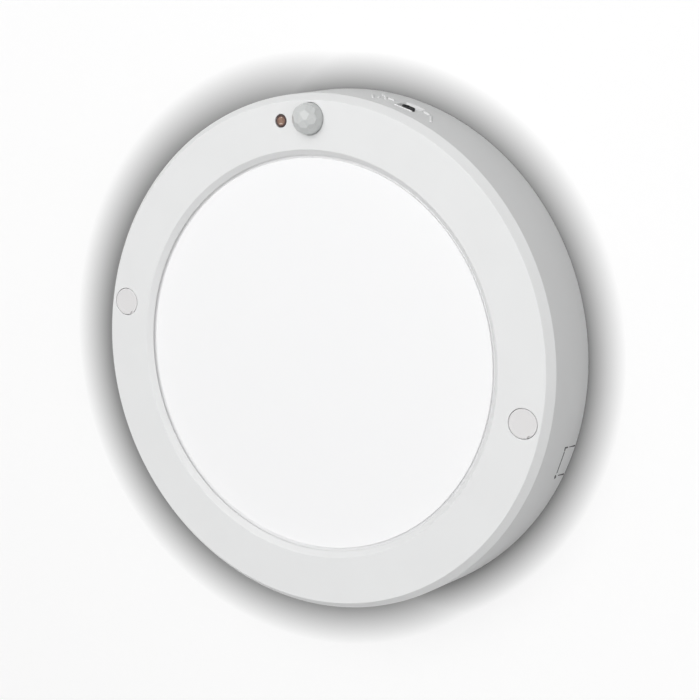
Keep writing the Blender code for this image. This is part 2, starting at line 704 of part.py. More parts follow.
def led_strip(wall):
    """Flexible strip round the light guide; each LED stands in from it towards the guide's edge."""
    flank = LED_FLANK / STRIP_INNER_RADIUS
    half = LED_LENGTH / 2 / LED_FACE_RADIUS
    bm = bmesh.new()
    sections = []
    for middle in ring_angles(0, LED_COUNT):
        steps = ((-half - flank, STRIP_INNER_RADIUS), (-half, LED_FACE_RADIUS))
        steps += ((half, LED_FACE_RADIUS), (half + flank, STRIP_INNER_RADIUS))
        for turn, inner in steps:
            radii = (inner, GUIDE_BACK), (STRIP_OUTER_RADIUS, GUIDE_BACK)
            radii += (STRIP_OUTER_RADIUS, GUIDE_FRONT), (inner, GUIDE_FRONT)
            angle = middle + turn
            sections.append([bm.verts.new((*polar(radius, angle), z)) for radius, z in radii])
    for near, far in zip(sections, sections[1:] + sections[:1]):
        for index in range(4):
            after = (index + 1) % 4
            bm.faces.new((near[index], near[after], far[after], far[index]))
    return piece("led_strip", bm, "strip_white", wall)


def light_pan(wall):
    """Pressed pan with an upturned rim, four screw ears and the holes for what it carries."""
    rim_top = LENS_FRONT
    profile = [
        (PAN_RIM_OUTER, PAN_BACK),
        (PAN_RIM_OUTER, rim_top),
        (PAN_RIM_INNER, rim_top),
        (PAN_RIM_INNER, PAN_FRONT),
    ]
    bm = bmesh.new()
    turned(bm, profile, RING_SEGMENTS)
    made = piece("light_pan", bm, "aluminium_sheet", wall)

    ears = bmesh.new()
    for angle in pan_screw_angles():
        inner = PAN_RIM_INNER - MERGE_LAP
        length = PAN_SCREW_CIRCLE_RADIUS - inner
        outline = ear_outline(inner, length, PAN_EAR_HALF_WIDTH)
        turned_outline = [turn_point(point, angle) for point in outline]
        slab(ears, turned_outline, PAN_BACK, PAN_FRONT)
    combine(made, operand("pan_ears", ears, wall), "UNION")

    low = PAN_BACK - OVERRUN
    high = PAN_FRONT + OVERRUN
    holes = bmesh.new()
    for angle in pan_screw_angles():
        place = polar(PAN_SCREW_CIRCLE_RADIUS, angle)
        cylinder(holes, PAN_SCREW_RADIUS + SEAT_GAP, low, high, place, SCREW_SEGMENTS)
    for place in driver_screw_places():
        cylinder(holes, DRIVER_SCREW_RADIUS + SEAT_GAP, low, high, place, SCREW_SEGMENTS)
    cylinder(holes, EARTH_SCREW_RADIUS + SEAT_GAP, low, high, (EARTH_X, EARTH_Y), SCREW_SEGMENTS)
    combine(made, operand("pan_holes", holes, wall), "DIFFERENCE")

    notch = bmesh.new()
    reach = (PAN_RIM_INNER - OVERRUN, PAN_RIM_OUTER + OVERRUN)
    half_width = LED_WIRE_PITCH / 2 + 2 * WIRE_RADIUS
    block(notch, (reach[0], -half_width, GUIDE_BACK), (reach[1], half_width, rim_top + OVERRUN))
    combine(made, operand("rim_notch", notch, wall, turn=led_exit_angle()), "DIFFERENCE")


def ear_outline(inner, length, half_width):
    """An ear that runs out along X from an inner radius and ends in a half round."""
    outline = [(inner, -half_width)]
    for step in range(SLOT_SEGMENTS + 1):
        angle = -pi / 2 + pi * step / SLOT_SEGMENTS
        outline.append((inner + length + half_width * cos(angle), half_width * sin(angle)))
    return [*outline, (inner, half_width)]


def turn_point(point, angle):
    x, y = point
    return (x * cos(angle) - y * sin(angle), x * sin(angle) + y * cos(angle))


def pan_screws(wall):
    for index, angle in enumerate(pan_screw_angles(), start=1):
        place = polar(PAN_SCREW_CIRCLE_RADIUS, angle)
        length = PAN_THICKNESS + SEAT_GAP + PAN_SCREW_ENGAGEMENT
        size = (PAN_SCREW_RADIUS, length, PAN_SCREW_HEAD_RADIUS, PAN_SCREW_HEAD_HEIGHT)
        screw(f"pan_screw_{index}", "zinc_steel", wall, place, *size, MOUNTED_FRONT, 1)


def optical_stack(wall):
    disc("diffuser_lens", LENS_RADIUS, LENS_BACK, LENS_FRONT, "opal_plastic", wall)
    disc("light_guide", GUIDE_RADIUS, GUIDE_BACK, GUIDE_FRONT, "clear_acrylic", wall)
    disc("reflector_sheet", GUIDE_RADIUS, REFLECTOR_BACK, REFLECTOR_FRONT, "reflector_film", wall)
    led_strip(wall)
    light_pan(wall)
    pan_screws(wall)


# Mounting screws, plugs and bracket


def screw_plug(name, place, wall):
    """Push-in cover: a flush head on a hollow stem, with a notch to pry it out."""
    stem_end = -PLUG_HEAD_THICKNESS - PLUG_STEM_LENGTH
    profile = [
        (PLUG_RADIUS, 0),
        (PLUG_RADIUS, -PLUG_HEAD_THICKNESS),
        (PLUG_STEM_RADIUS, -PLUG_HEAD_THICKNESS),
        (PLUG_STEM_RADIUS, stem_end),
        (PLUG_STEM_RADIUS - PLUG_STEM_WALL, stem_end),
        (PLUG_STEM_RADIUS - PLUG_STEM_WALL, -PLUG_HEAD_THICKNESS),
    ]
    bm = bmesh.new()
    turned(bm, profile, HOLE_SEGMENTS)
    made = piece(name, bm, "plug_plastic", wall, (*place, DEPTH))
    notch = bmesh.new()
    low = -PLUG_HEAD_THICKNESS / 2
    centre = polar(PLUG_RADIUS, PRY_NOTCH_ANGLE)
    cylinder(notch, PRY_NOTCH_RADIUS, low, OVERRUN, centre, SCREW_SEGMENTS)
    combine(made, operand(f"{name}_notch", notch, wall, (*place, DEPTH)), "DIFFERENCE")


def mounting_screw(name, place, wall):
    seat = SLEEVE_END + SLEEVE_FLOOR + SEAT_GAP
    length = seat - MOUNTING_SCREW_TIP
    size = (MOUNTING_SCREW_RADIUS, length, MOUNTING_HEAD_RADIUS, MOUNTING_HEAD_HEIGHT)
    screw(name, "zinc_steel", wall, place, *size, seat, -1)


def bracket_outline():
    """Side view of the bar: flat on the wall, then stepped off it at both ends."""
    half = PLUG_CIRCLE_RADIUS + BRACKET_END_MARGIN
    rise_start = half - BRACKET_END_LENGTH
    rise_end = rise_start + BRACKET_RAMP
    under = [(-half, BRACKET_RISE), (-rise_end, BRACKET_RISE), (-rise_start, 0)]
    under += [(rise_start, 0), (rise_end, BRACKET_RISE), (half, BRACKET_RISE)]
    over = [(x, z + BRACKET_THICKNESS) for x, z in reversed(under)]
    return under + over


def mounting_bracket(wall):
    bm = bmesh.new()
    slab(bm, bracket_outline(), -BRACKET_WIDTH / 2, BRACKET_WIDTH / 2)
    bmesh.ops.rotate(bm, matrix=Matrix.Rotation(pi / 2, 3, "X"), verts=bm.verts[:])
    made = piece("mounting_bracket", bm, "zinc_steel", wall, turn=PLUG_ANGLE)
    cuts = bmesh.new()
    for side in (-1, 1):
        half_length = (BRACKET_SLOT_LENGTH - BRACKET_SLOT_WIDTH) / 2
        outline = rounded_bar(half_length, BRACKET_SLOT_WIDTH / 2, side * BRACKET_SLOT_OFFSET)
        slab(cuts, outline, -OVERRUN, BRACKET_THICKNESS + OVERRUN)
        place = (side * PLUG_CIRCLE_RADIUS, 0)
        low = BRACKET_RISE - OVERRUN
        high = BRACKET_END_TOP + OVERRUN
        cylinder(cuts, MOUNTING_SCREW_RADIUS + SEAT_GAP, low, high, place, SCREW_SEGMENTS)
    combine(made, operand("bracket_cuts", cuts, wall, turn=PLUG_ANGLE), "DIFFERENCE")


def mounting_group(wall):
    for side, place in zip(("right", "left"), plug_places()):
        screw_plug(f"plug_{side}", place, wall)
        mounting_screw(f"mounting_screw_{side}", place, wall)
    mounting_bracket(wall)


# Sensor group


def fresnel_dome(wall):
    """Hollow dome on a short neck, held by a flange behind the face."""
    flange_front = FACE_BACK - SEAT_GAP
    flange_back = flange_front - DOME_FLANGE_THICKNESS
    neck_top = DEPTH + DOME_NECK
    quarter = [pi / 2 * step / DOME_RINGS for step in range(DOME_RINGS)]
    outer = [(DOME_RADIUS * cos(a), neck_top + DOME_RADIUS * sin(a)) for a in quarter]
    inner_radius = DOME_RADIUS - DOME_WALL
    inner = [(inner_radius * cos(a), neck_top + inner_radius * sin(a)) for a in quarter]
    profile = [*reversed(inner), (inner_radius, flange_back), (DOME_FLANGE_RADIUS, flange_back)]
    profile += [(DOME_FLANGE_RADIUS, flange_front), (DOME_RADIUS, flange_front), *outer]
    bm = bmesh.new()
    turned(bm, profile, DOME_SEGMENTS)
    piece("fresnel_dome", bm, "dome_plastic", wall, (DOME_OFFSET, SENSOR_CIRCLE_RADIUS, 0))


def pir_sensor(wall):
    base = SENSOR_BOARD_FRONT + SEAT_GAP
    profile = [
        (PIR_BASE_RADIUS, base),
        (PIR_BASE_RADIUS, base + PIR_BASE_HEIGHT),
        (PIR_CAN_RADIUS, base + PIR_BASE_HEIGHT),
        (PIR_CAN_RADIUS, base + PIR_HEIGHT),
    ]
    bm = bmesh.new()
    turned(bm, profile, DOME_SEGMENTS)
    piece("pir_sensor", bm, "zinc_steel", wall, (DOME_OFFSET, SENSOR_CIRCLE_RADIUS, 0))


def photocell(wall):
    """Sensor disc just inside its hole, on a stem down to the board."""
    top = DEPTH - PHOTOCELL_RECESS
    body = top - PHOTOCELL_BODY_HEIGHT
    profile = [
        (PHOTOCELL_STEM_RADIUS, SENSOR_BOARD_FRONT + SEAT_GAP),
        (PHOTOCELL_STEM_RADIUS, body),
        (PHOTOCELL_RADIUS, body),
        (PHOTOCELL_RADIUS, top),
    ]
    bm = bmesh.new()
    turned(bm, profile, HOLE_SEGMENTS)
    place = (*polar(SENSOR_CIRCLE_RADIUS, PHOTOCELL_ANGLE), 0)
    piece("photocell", bm, "photocell_copper", wall, place)


def sensor_board(wall):
    bm = bmesh.new()
    y = SENSOR_CIRCLE_RADIUS
    low = (-SENSOR_BOARD_LEFT, y - SENSOR_BOARD_INWARD, SENSOR_BOARD_BACK)
    block(bm, low, (SENSOR_BOARD_RIGHT, y + SENSOR_BOARD_OUTWARD, SENSOR_BOARD_FRONT))
    made = piece("sensor_board", bm, "board_green", wall)
    holes = bmesh.new()
    for place in sensor_screw_places():
        radius = SMALL_SCREW_RADIUS + SEAT_GAP
        low = SENSOR_BOARD_BACK - OVERRUN
        cylinder(holes, radius, low, SENSOR_BOARD_FRONT + OVERRUN, place, SCREW_SEGMENTS)
    combine(made, operand("sensor_board_holes", holes, wall), "DIFFERENCE")


def small_screw(name, parent, place, seat, board_thickness):
    length = board_thickness + SEAT_GAP + SMALL_SCREW_ENGAGEMENT
    size = (SMALL_SCREW_RADIUS, length, SMALL_SCREW_HEAD_RADIUS, SMALL_SCREW_HEAD_HEIGHT)
    screw(name, "zinc_steel", parent, place, *size, seat - SEAT_GAP, 1)


def sensor_group(wall):
    fresnel_dome(wall)
    pir_sensor(wall)
    photocell(wall)
    sensor_board(wall)
    for index, place in enumerate(sensor_screw_places(), start=1):
        small_screw(f"sensor_screw_{index}", wall, place, SENSOR_BOARD_BACK, BOARD_THICKNESS)


# Slide switch


def slider_knob(switch):
    """Knob at the right end of its slot; its origin is where it slides from."""
    bm = bmesh.new()
    centred_block(bm, KNOB_LENGTH, KNOB_WIDTH, SWITCH_BODY_FRONT + SEAT_GAP, -KNOB_RECESS)
    piece("slider_knob", bm, "black_plastic", switch, (SWITCH_TRAVEL / 2, 0, 0))


def switch_board(switch):
    bm = bmesh.new()
    centred_block(bm, SWITCH_BOARD_LENGTH, SWITCH_BOARD_WIDTH, SWITCH_BOARD_BACK, SWITCH_BOARD_FRONT)
    made = piece("switch_board", bm, "board_green", switch)
    holes = bmesh.new()
    for side in (-1, 1):
        place = (side * SWITCH_SCREW_OFFSET, 0)
        radius = SMALL_SCREW_RADIUS + SEAT_GAP
        low = SWITCH_BOARD_BACK - OVERRUN
        cylinder(holes, radius, low, SWITCH_BOARD_FRONT + OVERRUN, place, SCREW_SEGMENTS)
    combine(made, operand("switch_board_holes", holes, switch), "DIFFERENCE")


def switch_group(switch):
    slider_knob(switch)
    bm = bmesh.new()
    centred_block(bm, SWITCH_BODY_LENGTH, SWITCH_BODY_WIDTH, SWITCH_BODY_BACK, SWITCH_BODY_FRONT)
    piece("switch_body", bm, "black_plastic", switch)
    switch_board(switch)
    for index, side in enumerate((-1, 1), start=1):
        place = (side * SWITCH_SCREW_OFFSET, 0)
        small_screw(f"switch_screw_{index}", switch, place, SWITCH_BOARD_BACK, SWITCH_BOARD_THICKNESS)


# Driver


def driver_screw_places():
    reach = DRIVER_LENGTH / 2 + DRIVER_EAR_LENGTH / 2
    return [(DRIVER_X + side * reach, DRIVER_Y) for side in (-1, 1)]


def driver_post_places():
    half_length = DRIVER_LENGTH / 2 - DRIVER_WALL - DRIVER_BOARD_MARGIN - DRIVER_POST_RADIUS
    half_width = DRIVER_WIDTH / 2 - DRIVER_WALL - DRIVER_BOARD_MARGIN - DRIVER_POST_RADIUS
    return [(x * half_length, y * half_width) for x in (-1, 1) for y in (-1, 1)]


def driver_tray(place, wall):
    """Insulating floor under the board, with four posts that carry it."""
    inner_length = DRIVER_LENGTH - 2 * DRIVER_WALL - 2 * SEAT_GAP
    inner_width = DRIVER_WIDTH - 2 * DRIVER_WALL - 2 * SEAT_GAP
    bm = bmesh.new()
    centred_block(bm, inner_length, inner_width, TRAY_BACK, MOUNTED_FRONT)
    made = piece("driver_tray", bm, "grey_plastic", wall, place)
    posts = bmesh.new()
    low = DRIVER_BOARD_FRONT + SEAT_GAP
    for post_place in driver_post_places():
        cylinder(posts, DRIVER_POST_RADIUS, low, TRAY_BACK + DRIVER_WALL / 2, post_place, SCREW_SEGMENTS)
    combine(made, operand("driver_posts", posts, wall, place), "UNION")


def driver_board(place, wall):
    length = DRIVER_LENGTH - 2 * DRIVER_WALL - 2 * DRIVER_BOARD_MARGIN
    width = DRIVER_WIDTH - 2 * DRIVER_WALL - 2 * DRIVER_BOARD_MARGIN
    bm = bmesh.new()
    centred_block(bm, length, width, DRIVER_BOARD_BACK, DRIVER_BOARD_FRONT)
    piece("driver_board", bm, "board_green", wall, place)


def driver_cover(place, wall):
    """Box over the board, open towards the pan, with an ear at each end and notches for the wires."""
    bm = bmesh.new()
    centred_block(bm, DRIVER_LENGTH, DRIVER_WIDTH, COVER_BACK, MOUNTED_FRONT)
    made = piece("driver_cover", bm, "white_plastic", wall, place)

    ears = bmesh.new()
    for side in (-1, 1):
        near = side * (DRIVER_LENGTH / 2 - DRIVER_WALL / 2)
        far = side * (DRIVER_LENGTH / 2 + DRIVER_EAR_LENGTH)
        low = (min(near, far), -DRIVER_EAR_WIDTH / 2, MOUNTED_FRONT - DRIVER_EAR_THICKNESS)
        block(ears, low, (max(near, far), DRIVER_EAR_WIDTH / 2, MOUNTED_FRONT))
    combine(made, operand("cover_ears", ears, wall, place), "UNION")

    hollow = bmesh.new()
    inner_length = DRIVER_LENGTH - 2 * DRIVER_WALL
    inner_width = DRIVER_WIDTH - 2 * DRIVER_WALL
    centred_block(hollow, inner_length, inner_width, COVER_ROOF_FRONT, MOUNTED_FRONT + OVERRUN)
    combine(made, operand("cover_hollow", hollow, wall, place), "DIFFERENCE")

    cuts = bmesh.new()
    for x, y in driver_screw_places():
        centre = (x - DRIVER_X, y - DRIVER_Y)
        low = MOUNTED_FRONT - DRIVER_EAR_THICKNESS - OVERRUN
        high = MOUNTED_FRONT + OVERRUN
        cylinder(cuts, DRIVER_SCREW_RADIUS + SEAT_GAP, low, high, centre, SCREW_SEGMENTS)
    notch_low = DRIVER_WIRE_HEIGHT - WIRE_NOTCH_HEIGHT / 2
    notch_high = DRIVER_WIRE_HEIGHT + WIRE_NOTCH_HEIGHT / 2
    reach = DRIVER_WALL / 2 + OVERRUN
    end_notch = (-(DRIVER_LENGTH - DRIVER_WALL) / 2, end_notch_offset())
    centred_block(cuts, 2 * reach, WIRE_NOTCH_WIDTH, notch_low, notch_high, end_notch)
    side_y = (DRIVER_WIDTH - DRIVER_WALL) / 2
    for x, y in ((-DRIVER_X, side_y), (mains_notch_x() - DRIVER_X, -side_y)):
        centred_block(cuts, WIRE_NOTCH_WIDTH, 2 * reach, notch_low, notch_high, (x, y))
    combine(made, operand("cover_cuts", cuts, wall, place), "DIFFERENCE")


def end_notch_offset():
    return -(DRIVER_WIDTH - WIRE_NOTCH_WIDTH) / 2 + DRIVER_WALL + DRIVER_BOARD_MARGIN


def led_exit_angle():
    """Where on the pan's rim the LED wires pass: level with the notch in the driver's end."""
    return pi - asin((DRIVER_Y + end_notch_offset()) / PAN_RIM_OUTER)


def mains_notch_x():
    return DRIVER_X + DRIVER_LENGTH / 2 - MAINS_NOTCH_INSET


def board_columns():
    """Middles of the component columns along the board, from the mains end, with even gaps."""
    lengths = {
        "inlet": max(FUSE_LENGTH, VARISTOR_THICKNESS),
        "filter": FILTER_CAPACITOR_LENGTH,
        "bridge": max(2 * CHOKE_RADIUS, BRIDGE_LENGTH),
        "bulk": max(BULK_CAPACITOR_LENGTH, CHIP_LENGTH),
        "transformer": TRANSFORMER_CORE_LENGTH,
        "output": OUTPUT_CAPACITOR_LENGTH,
    }
    board_length = DRIVER_LENGTH - 2 * DRIVER_WALL - 2 * DRIVER_BOARD_MARGIN
    gap = (board_length - sum(lengths.values())) / (len(lengths) + 1)
    middles = {}
    edge = DRIVER_X + board_length / 2
    for column, length in lengths.items():
        middles[column] = edge - gap - length / 2
        edge -= gap + length
    return middles


def board_place(column, share):
    """A place on the driver board: a column, and a share of the board's half width."""
    y = DRIVER_Y + share * (DRIVER_WIDTH / 2 - DRIVER_WALL - DRIVER_BOARD_MARGIN)
    return (board_columns()[column], y, COMPONENT_FRONT)


def boxed_component(name, length, width, height, place, finish_name, wall):
    bm = bmesh.new()
    centred_block(bm, length, width, -height, 0)
    piece(name, bm, finish_name, wall, place)


def lying_component(name, radius, length, place, finish_name, wall):
    bm = bmesh.new()
    lying_cylinder(bm, radius, length)
    piece(name, bm, finish_name, wall, place)


def filter_choke(wall):
    """A wound ring core that lies flat."""
    profile = [
        (CHOKE_RADIUS, -CHOKE_HEIGHT),
        (CHOKE_RADIUS, 0),
        (CHOKE_HOLE_RADIUS, 0),
        (CHOKE_HOLE_RADIUS, -CHOKE_HEIGHT),
    ]
    bm = bmesh.new()
    turned(bm, profile, POST_SEGMENTS, closed=True)
    piece("filter_choke", bm, "ferrite", wall, board_place("bridge", CHOKE_SHARE))


def transformer(wall):
    """Ferrite core with a window, and the taped coil in it that reaches out on both sides."""
    place = board_place("transformer", TRANSFORMER_SHARE)
    bm = bmesh.new()
    centred_block(bm, TRANSFORMER_CORE_LENGTH, TRANSFORMER_CORE_WIDTH, -TRANSFORMER_CORE_HEIGHT, 0)
    core = piece("transformer_core", bm, "ferrite", wall, place)
    window = bmesh.new()
    inset = (TRANSFORMER_CORE_LENGTH - TRANSFORMER_WINDOW_LENGTH) / 2
    width = TRANSFORMER_CORE_WIDTH - 2 * inset
    low = -TRANSFORMER_CORE_HEIGHT - OVERRUN
    centred_block(window, TRANSFORMER_WINDOW_LENGTH, width, low, OVERRUN)
    combine(core, operand("core_window", window, wall, place), "DIFFERENCE")
    coil = bmesh.new()
    length = TRANSFORMER_WINDOW_LENGTH - 2 * TRANSFORMER_COIL_CLEARANCE
    coil_width = width - 2 * TRANSFORMER_COIL_CLEARANCE
    back = -TRANSFORMER_CORE_HEIGHT - TRANSFORMER_COIL_LAP + TRANSFORMER_COIL_CLEARANCE
    centred_block(coil, length, coil_width, back, 0)
    piece("transformer_coil", coil, "film_yellow", wall, place)


def driver_components(wall):
    size = (FUSE_RADIUS, FUSE_LENGTH)
    lying_component("fuse", *size, board_place("inlet", FUSE_SHARE), "fuse_glass", wall)
    size = (VARISTOR_RADIUS, VARISTOR_THICKNESS)
    lying_component("varistor", *size, board_place("inlet", VARISTOR_SHARE), "varistor_blue", wall)
    size = (FILTER_CAPACITOR_LENGTH, FILTER_CAPACITOR_WIDTH, FILTER_CAPACITOR_HEIGHT)
    place = board_place("filter", FILTER_CAPACITOR_SHARE)
    boxed_component("filter_capacitor", *size, place, "film_yellow", wall)
    filter_choke(wall)
    size = (BRIDGE_LENGTH, BRIDGE_WIDTH, BRIDGE_HEIGHT)
    place = board_place("bridge", BRIDGE_SHARE)
    boxed_component("bridge_rectifier", *size, place, "black_plastic", wall)
    size = (BULK_CAPACITOR_RADIUS, BULK_CAPACITOR_LENGTH)
    place = board_place("bulk", BULK_CAPACITOR_SHARE)
    lying_component("bulk_capacitor", *size, place, "black_plastic", wall)
    transformer(wall)
    size = (CHIP_LENGTH, CHIP_WIDTH, CHIP_HEIGHT)
    boxed_component("driver_chip", *size, board_place("bulk", CHIP_SHARE), "black_plastic", wall)
    size = (OUTPUT_CAPACITOR_RADIUS, OUTPUT_CAPACITOR_LENGTH)
    place = board_place("output", OUTPUT_CAPACITOR_SHARE)
    lying_component("output_capacitor", *size, place, "varistor_blue", wall)


def driver_group(wall):
    place = (DRIVER_X, DRIVER_Y, 0)
    driver_tray(place, wall)
    driver_board(place, wall)
    driver_cover(place, wall)
    driver_components(wall)
    for index, screw_place in enumerate(driver_screw_places(), start=1):
        seat = MOUNTED_FRONT - DRIVER_EAR_THICKNESS - SEAT_GAP
        length = PAN_FRONT - seat
        size = (DRIVER_SCREW_RADIUS, length, DRIVER_SCREW_HEAD_RADIUS, DRIVER_SCREW_HEAD_HEIGHT)
        screw(f"driver_screw_{index}", "zinc_steel", wall, screw_place, *size, seat, 1)


# Terminal block and earth point


def terminal_offsets():
    middle = (TERMINAL_WAYS - 1) / 2
    return [(index - middle) * TERMINAL_PITCH for index in range(TERMINAL_WAYS)]


def terminal_bore_height():
    return MOUNTED_FRONT - TERMINAL_BORE_HEIGHT


def terminal_block(wall):
    """Plastic block with a wire bore through each way and a screw well behind it."""
    place = (TERMINAL_X, TERMINAL_Y, 0)
    back = MOUNTED_FRONT - TERMINAL_HEIGHT
    bm = bmesh.new()
    centred_block(bm, TERMINAL_WAYS * TERMINAL_PITCH, TERMINAL_WIDTH, back, MOUNTED_FRONT)
    made = piece("terminal_block", bm, "white_plastic", wall, place)
    bores = bmesh.new()
    wells = bmesh.new()
    for x in terminal_offsets():
        turn = Matrix.Translation((x, 0, terminal_bore_height())) @ Matrix.Rotation(pi / 2, 4, "X")
        size = {"radius1": TERMINAL_BORE_RADIUS, "radius2": TERMINAL_BORE_RADIUS}
        depth = TERMINAL_WIDTH + 2 * OVERRUN
        bmesh.ops.create_cone(bores, cap_ends=True, segments=SCREW_SEGMENTS, matrix=turn, depth=depth, **size)
        cylinder(wells, TERMINAL_WELL_RADIUS, back - OVERRUN, terminal_bore_height(), (x, 0), SCREW_SEGMENTS)
    combine(made, operand("terminal_bores", bores, wall, place), "DIFFERENCE")
    combine(made, operand("terminal_wells", wells, wall, place), "DIFFERENCE")


def terminal_screws(wall):
    """Clamp screws down in their wells."""
    back = MOUNTED_FRONT - TERMINAL_HEIGHT + TERMINAL_SCREW_SINK
    for index, x in enumerate(terminal_offsets(), start=1):
        bm = bmesh.new()
        cylinder(bm, TERMINAL_SCREW_RADIUS, back, back + TERMINAL_SCREW_HEIGHT, segments=SCREW_SEGMENTS)
        piece(f"terminal_screw_{index}", bm, "brass", wall, (TERMINAL_X + x, TERMINAL_Y, 0))


def earth_screw(wall):
    length = PAN_FRONT - MOUNTED_FRONT
    size = (EARTH_SCREW_RADIUS, length, EARTH_HEAD_RADIUS, EARTH_HEAD_HEIGHT)
    screw("earth_screw", "brass", wall, (EARTH_X, EARTH_Y), *size, MOUNTED_FRONT, 1)


def supply_group(wall):
    terminal_block(wall)
    terminal_screws(wall)
    earth_screw(wall)


# Wires


def mains_wires(wall):
    """Live and neutral, from the terminal block into the driver's near side."""
    height = terminal_bore_height()
    start_y = TERMINAL_Y + TERMINAL_WIDTH / 2 - WIRE_END
    cover_side = DRIVER_Y - DRIVER_WIDTH / 2
    board_side = cover_side + DRIVER_WALL + DRIVER_BOARD_MARGIN
    leads = ("neutral_wire", "neutral_blue", 0, -1), ("live_wire", "live_brown", 1, 1)
    for name, colour, way, side in leads:
        x = TERMINAL_X + terminal_offsets()[way]
        notch_x = mains_notch_x() + side * MAINS_WIRE_PITCH / 2
        points = [
            (x, start_y, height),
            (x, start_y + 2 * WIRE_END, height),
            (notch_x, cover_side - 2 * WIRE_LAY, DRIVER_WIRE_HEIGHT),
            (notch_x, cover_side - WIRE_LAY, DRIVER_WIRE_HEIGHT),
            (notch_x, board_side + WIRE_END / 2, DRIVER_WIRE_HEIGHT),
        ]
        wire(name, points, WIRE_RADIUS, colour, wall)


def earth_wire(wall):
    """From the last terminal to the earth screw's head."""
    height = terminal_bore_height()
    x = TERMINAL_X + terminal_offsets()[-1]
    start_y = TERMINAL_Y + TERMINAL_WIDTH / 2 - WIRE_END
    end_y = EARTH_Y - EARTH_HEAD_RADIUS - SEAT_GAP
    end_height = MOUNTED_FRONT - EARTH_HEAD_HEIGHT / 2
    points = [
        (x, start_y, height),
        (x, start_y + 2 * WIRE_END, height),
        (EARTH_X, end_y - WIRE_LAY, end_height),
        (EARTH_X, end_y, end_height),
    ]
    wire("earth_wire", points, WIRE_RADIUS, "earth_green", wall)


def led_wires(wall):
    """From the driver's output, round the pan's rim and in through its notch to the LED strip."""
    board_end = DRIVER_X - DRIVER_LENGTH / 2 + DRIVER_WALL + DRIVER_BOARD_MARGIN
    notch_y = DRIVER_Y + end_notch_offset()
    contact_height = (GUIDE_BACK + GUIDE_FRONT) / 2
    loop_radius = PAN_RIM_OUTER + LED_WIRE_LOOP
    rim_points = [
        (PAN_RIM_OUTER - 2 * WIRE_LAY, DRIVER_WIRE_HEIGHT),
        (loop_radius - WIRE_RADIUS, PAN_BACK - WIRE_LAY / 2),
        (loop_radius, PAN_FRONT),
        (loop_radius - WIRE_RADIUS, contact_height - WIRE_RADIUS / 2),
        (PAN_RIM_OUTER + WIRE_RADIUS, contact_height),
        (STRIP_OUTER_RADIUS + SEAT_GAP, contact_height),
    ]
    radial = Vector((*polar(1, led_exit_angle()), 0))
    along = Vector((-radial.y, radial.x, 0))
    for name, colour, side in (("led_wire_plus", "wire_red", 1), ("led_wire_minus", "wire_black", -1)):
        offset = side * LED_WIRE_PITCH / 2
        y = notch_y - offset
        points = [
            Vector((board_end + WIRE_END / 2, y, DRIVER_WIRE_HEIGHT)),
            Vector((board_end, y, DRIVER_WIRE_HEIGHT)),
            Vector((board_end - WIRE_LAY, y, DRIVER_WIRE_HEIGHT)),
        ]
        points += [radial * r + along * offset + Vector((0, 0, z)) for r, z in rim_points]
        wire(name, points, WIRE_RADIUS, colour, wall)


def sensor_cable(wall):
    """From the back of the sensor board into the driver's long side."""
    cover_side = DRIVER_Y + DRIVER_WIDTH / 2
    board_y = SENSOR_CIRCLE_RADIUS - SENSOR_BOARD_INWARD + 2 * SENSOR_CABLE_RADIUS
    back = SENSOR_BOARD_BACK - SEAT_GAP
    height = DRIVER_BOARD_BACK - SEAT_GAP - SENSOR_CABLE_RADIUS
    points = [
        (0, board_y, back),
        (0, board_y, back - WIRE_LAY / 2),
        (0, board_y - WIRE_LAY, height),
        (0, cover_side + WIRE_LAY, height),
        (0, cover_side - DRIVER_WALL - DRIVER_BOARD_MARGIN - WIRE_END / 2, height),
    ]
    wire("sensor_cable", points, SENSOR_CABLE_RADIUS, "wire_grey", wall)


def switch_cable(switch, wall):
    """From the back of the switch board to the back of the sensor board."""
    back = SWITCH_BOARD_BACK - SEAT_GAP
    start = switch.matrix_basis @ Vector((-SWITCH_BODY_WIDTH / 2, 0, back))
    lead = switch.matrix_basis @ Vector((-SWITCH_BODY_WIDTH / 2, 0, back - WIRE_LAY / 2))
    x = SENSOR_BOARD_RIGHT * SWITCH_CABLE_END_SHARE
    y = SENSOR_CIRCLE_RADIUS - SENSOR_BOARD_INWARD / 2
    sag = WIRE_LAY * SWITCH_CABLE_SAG_SHARE
    end_height = SENSOR_BOARD_BACK - SEAT_GAP
    lay_height = end_height - WIRE_LAY
    middle = (start + Vector((x, y, lay_height))) / 2 - Vector((0, WIRE_LAY / 2, sag))
    points = [start, lead, middle, (x, y, lay_height + sag), (x, y, end_height)]
    wire("switch_cable", points, SWITCH_CABLE_RADIUS, "wire_grey", wall)


def wiring(switch, wall):
    mains_wires(wall)
    earth_wire(wall)
    led_wires(wall)
    sensor_cable(wall)
    switch_cable(switch, wall)


def build():
    clear_scene()
    wall = frame("wall_frame", matrix=Matrix.Rotation(pi / 2, 4, "X"))
    switch = skirt_frame("switch_frame", wall, SWITCH_ANGLE, DEPTH - SWITCH_DEPTH)
    knockout = skirt_frame("knockout_frame", wall, KNOCKOUT_ANGLE, 0)
    front_housing(wall, switch, knockout)
    optical_stack(wall)
    mounting_group(wall)
    sensor_group(wall)
    switch_group(switch)
    driver_group(wall)
    supply_group(wall)
    wiring(switch, wall)


build()
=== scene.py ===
"""Looks of a round sensor ceiling light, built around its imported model.

Shapes are drawn as the light lies on its back: x to the right, y up to the sensor, z out of the
wall. piece() stands them up, so that the wall plane becomes Y = 0 and the face looks along -Y.
"""

import json
from math import asin, atan2, cos, hypot, pi, radians, sin, tan

import bmesh
import bpy
from mathutils import Matrix, Vector


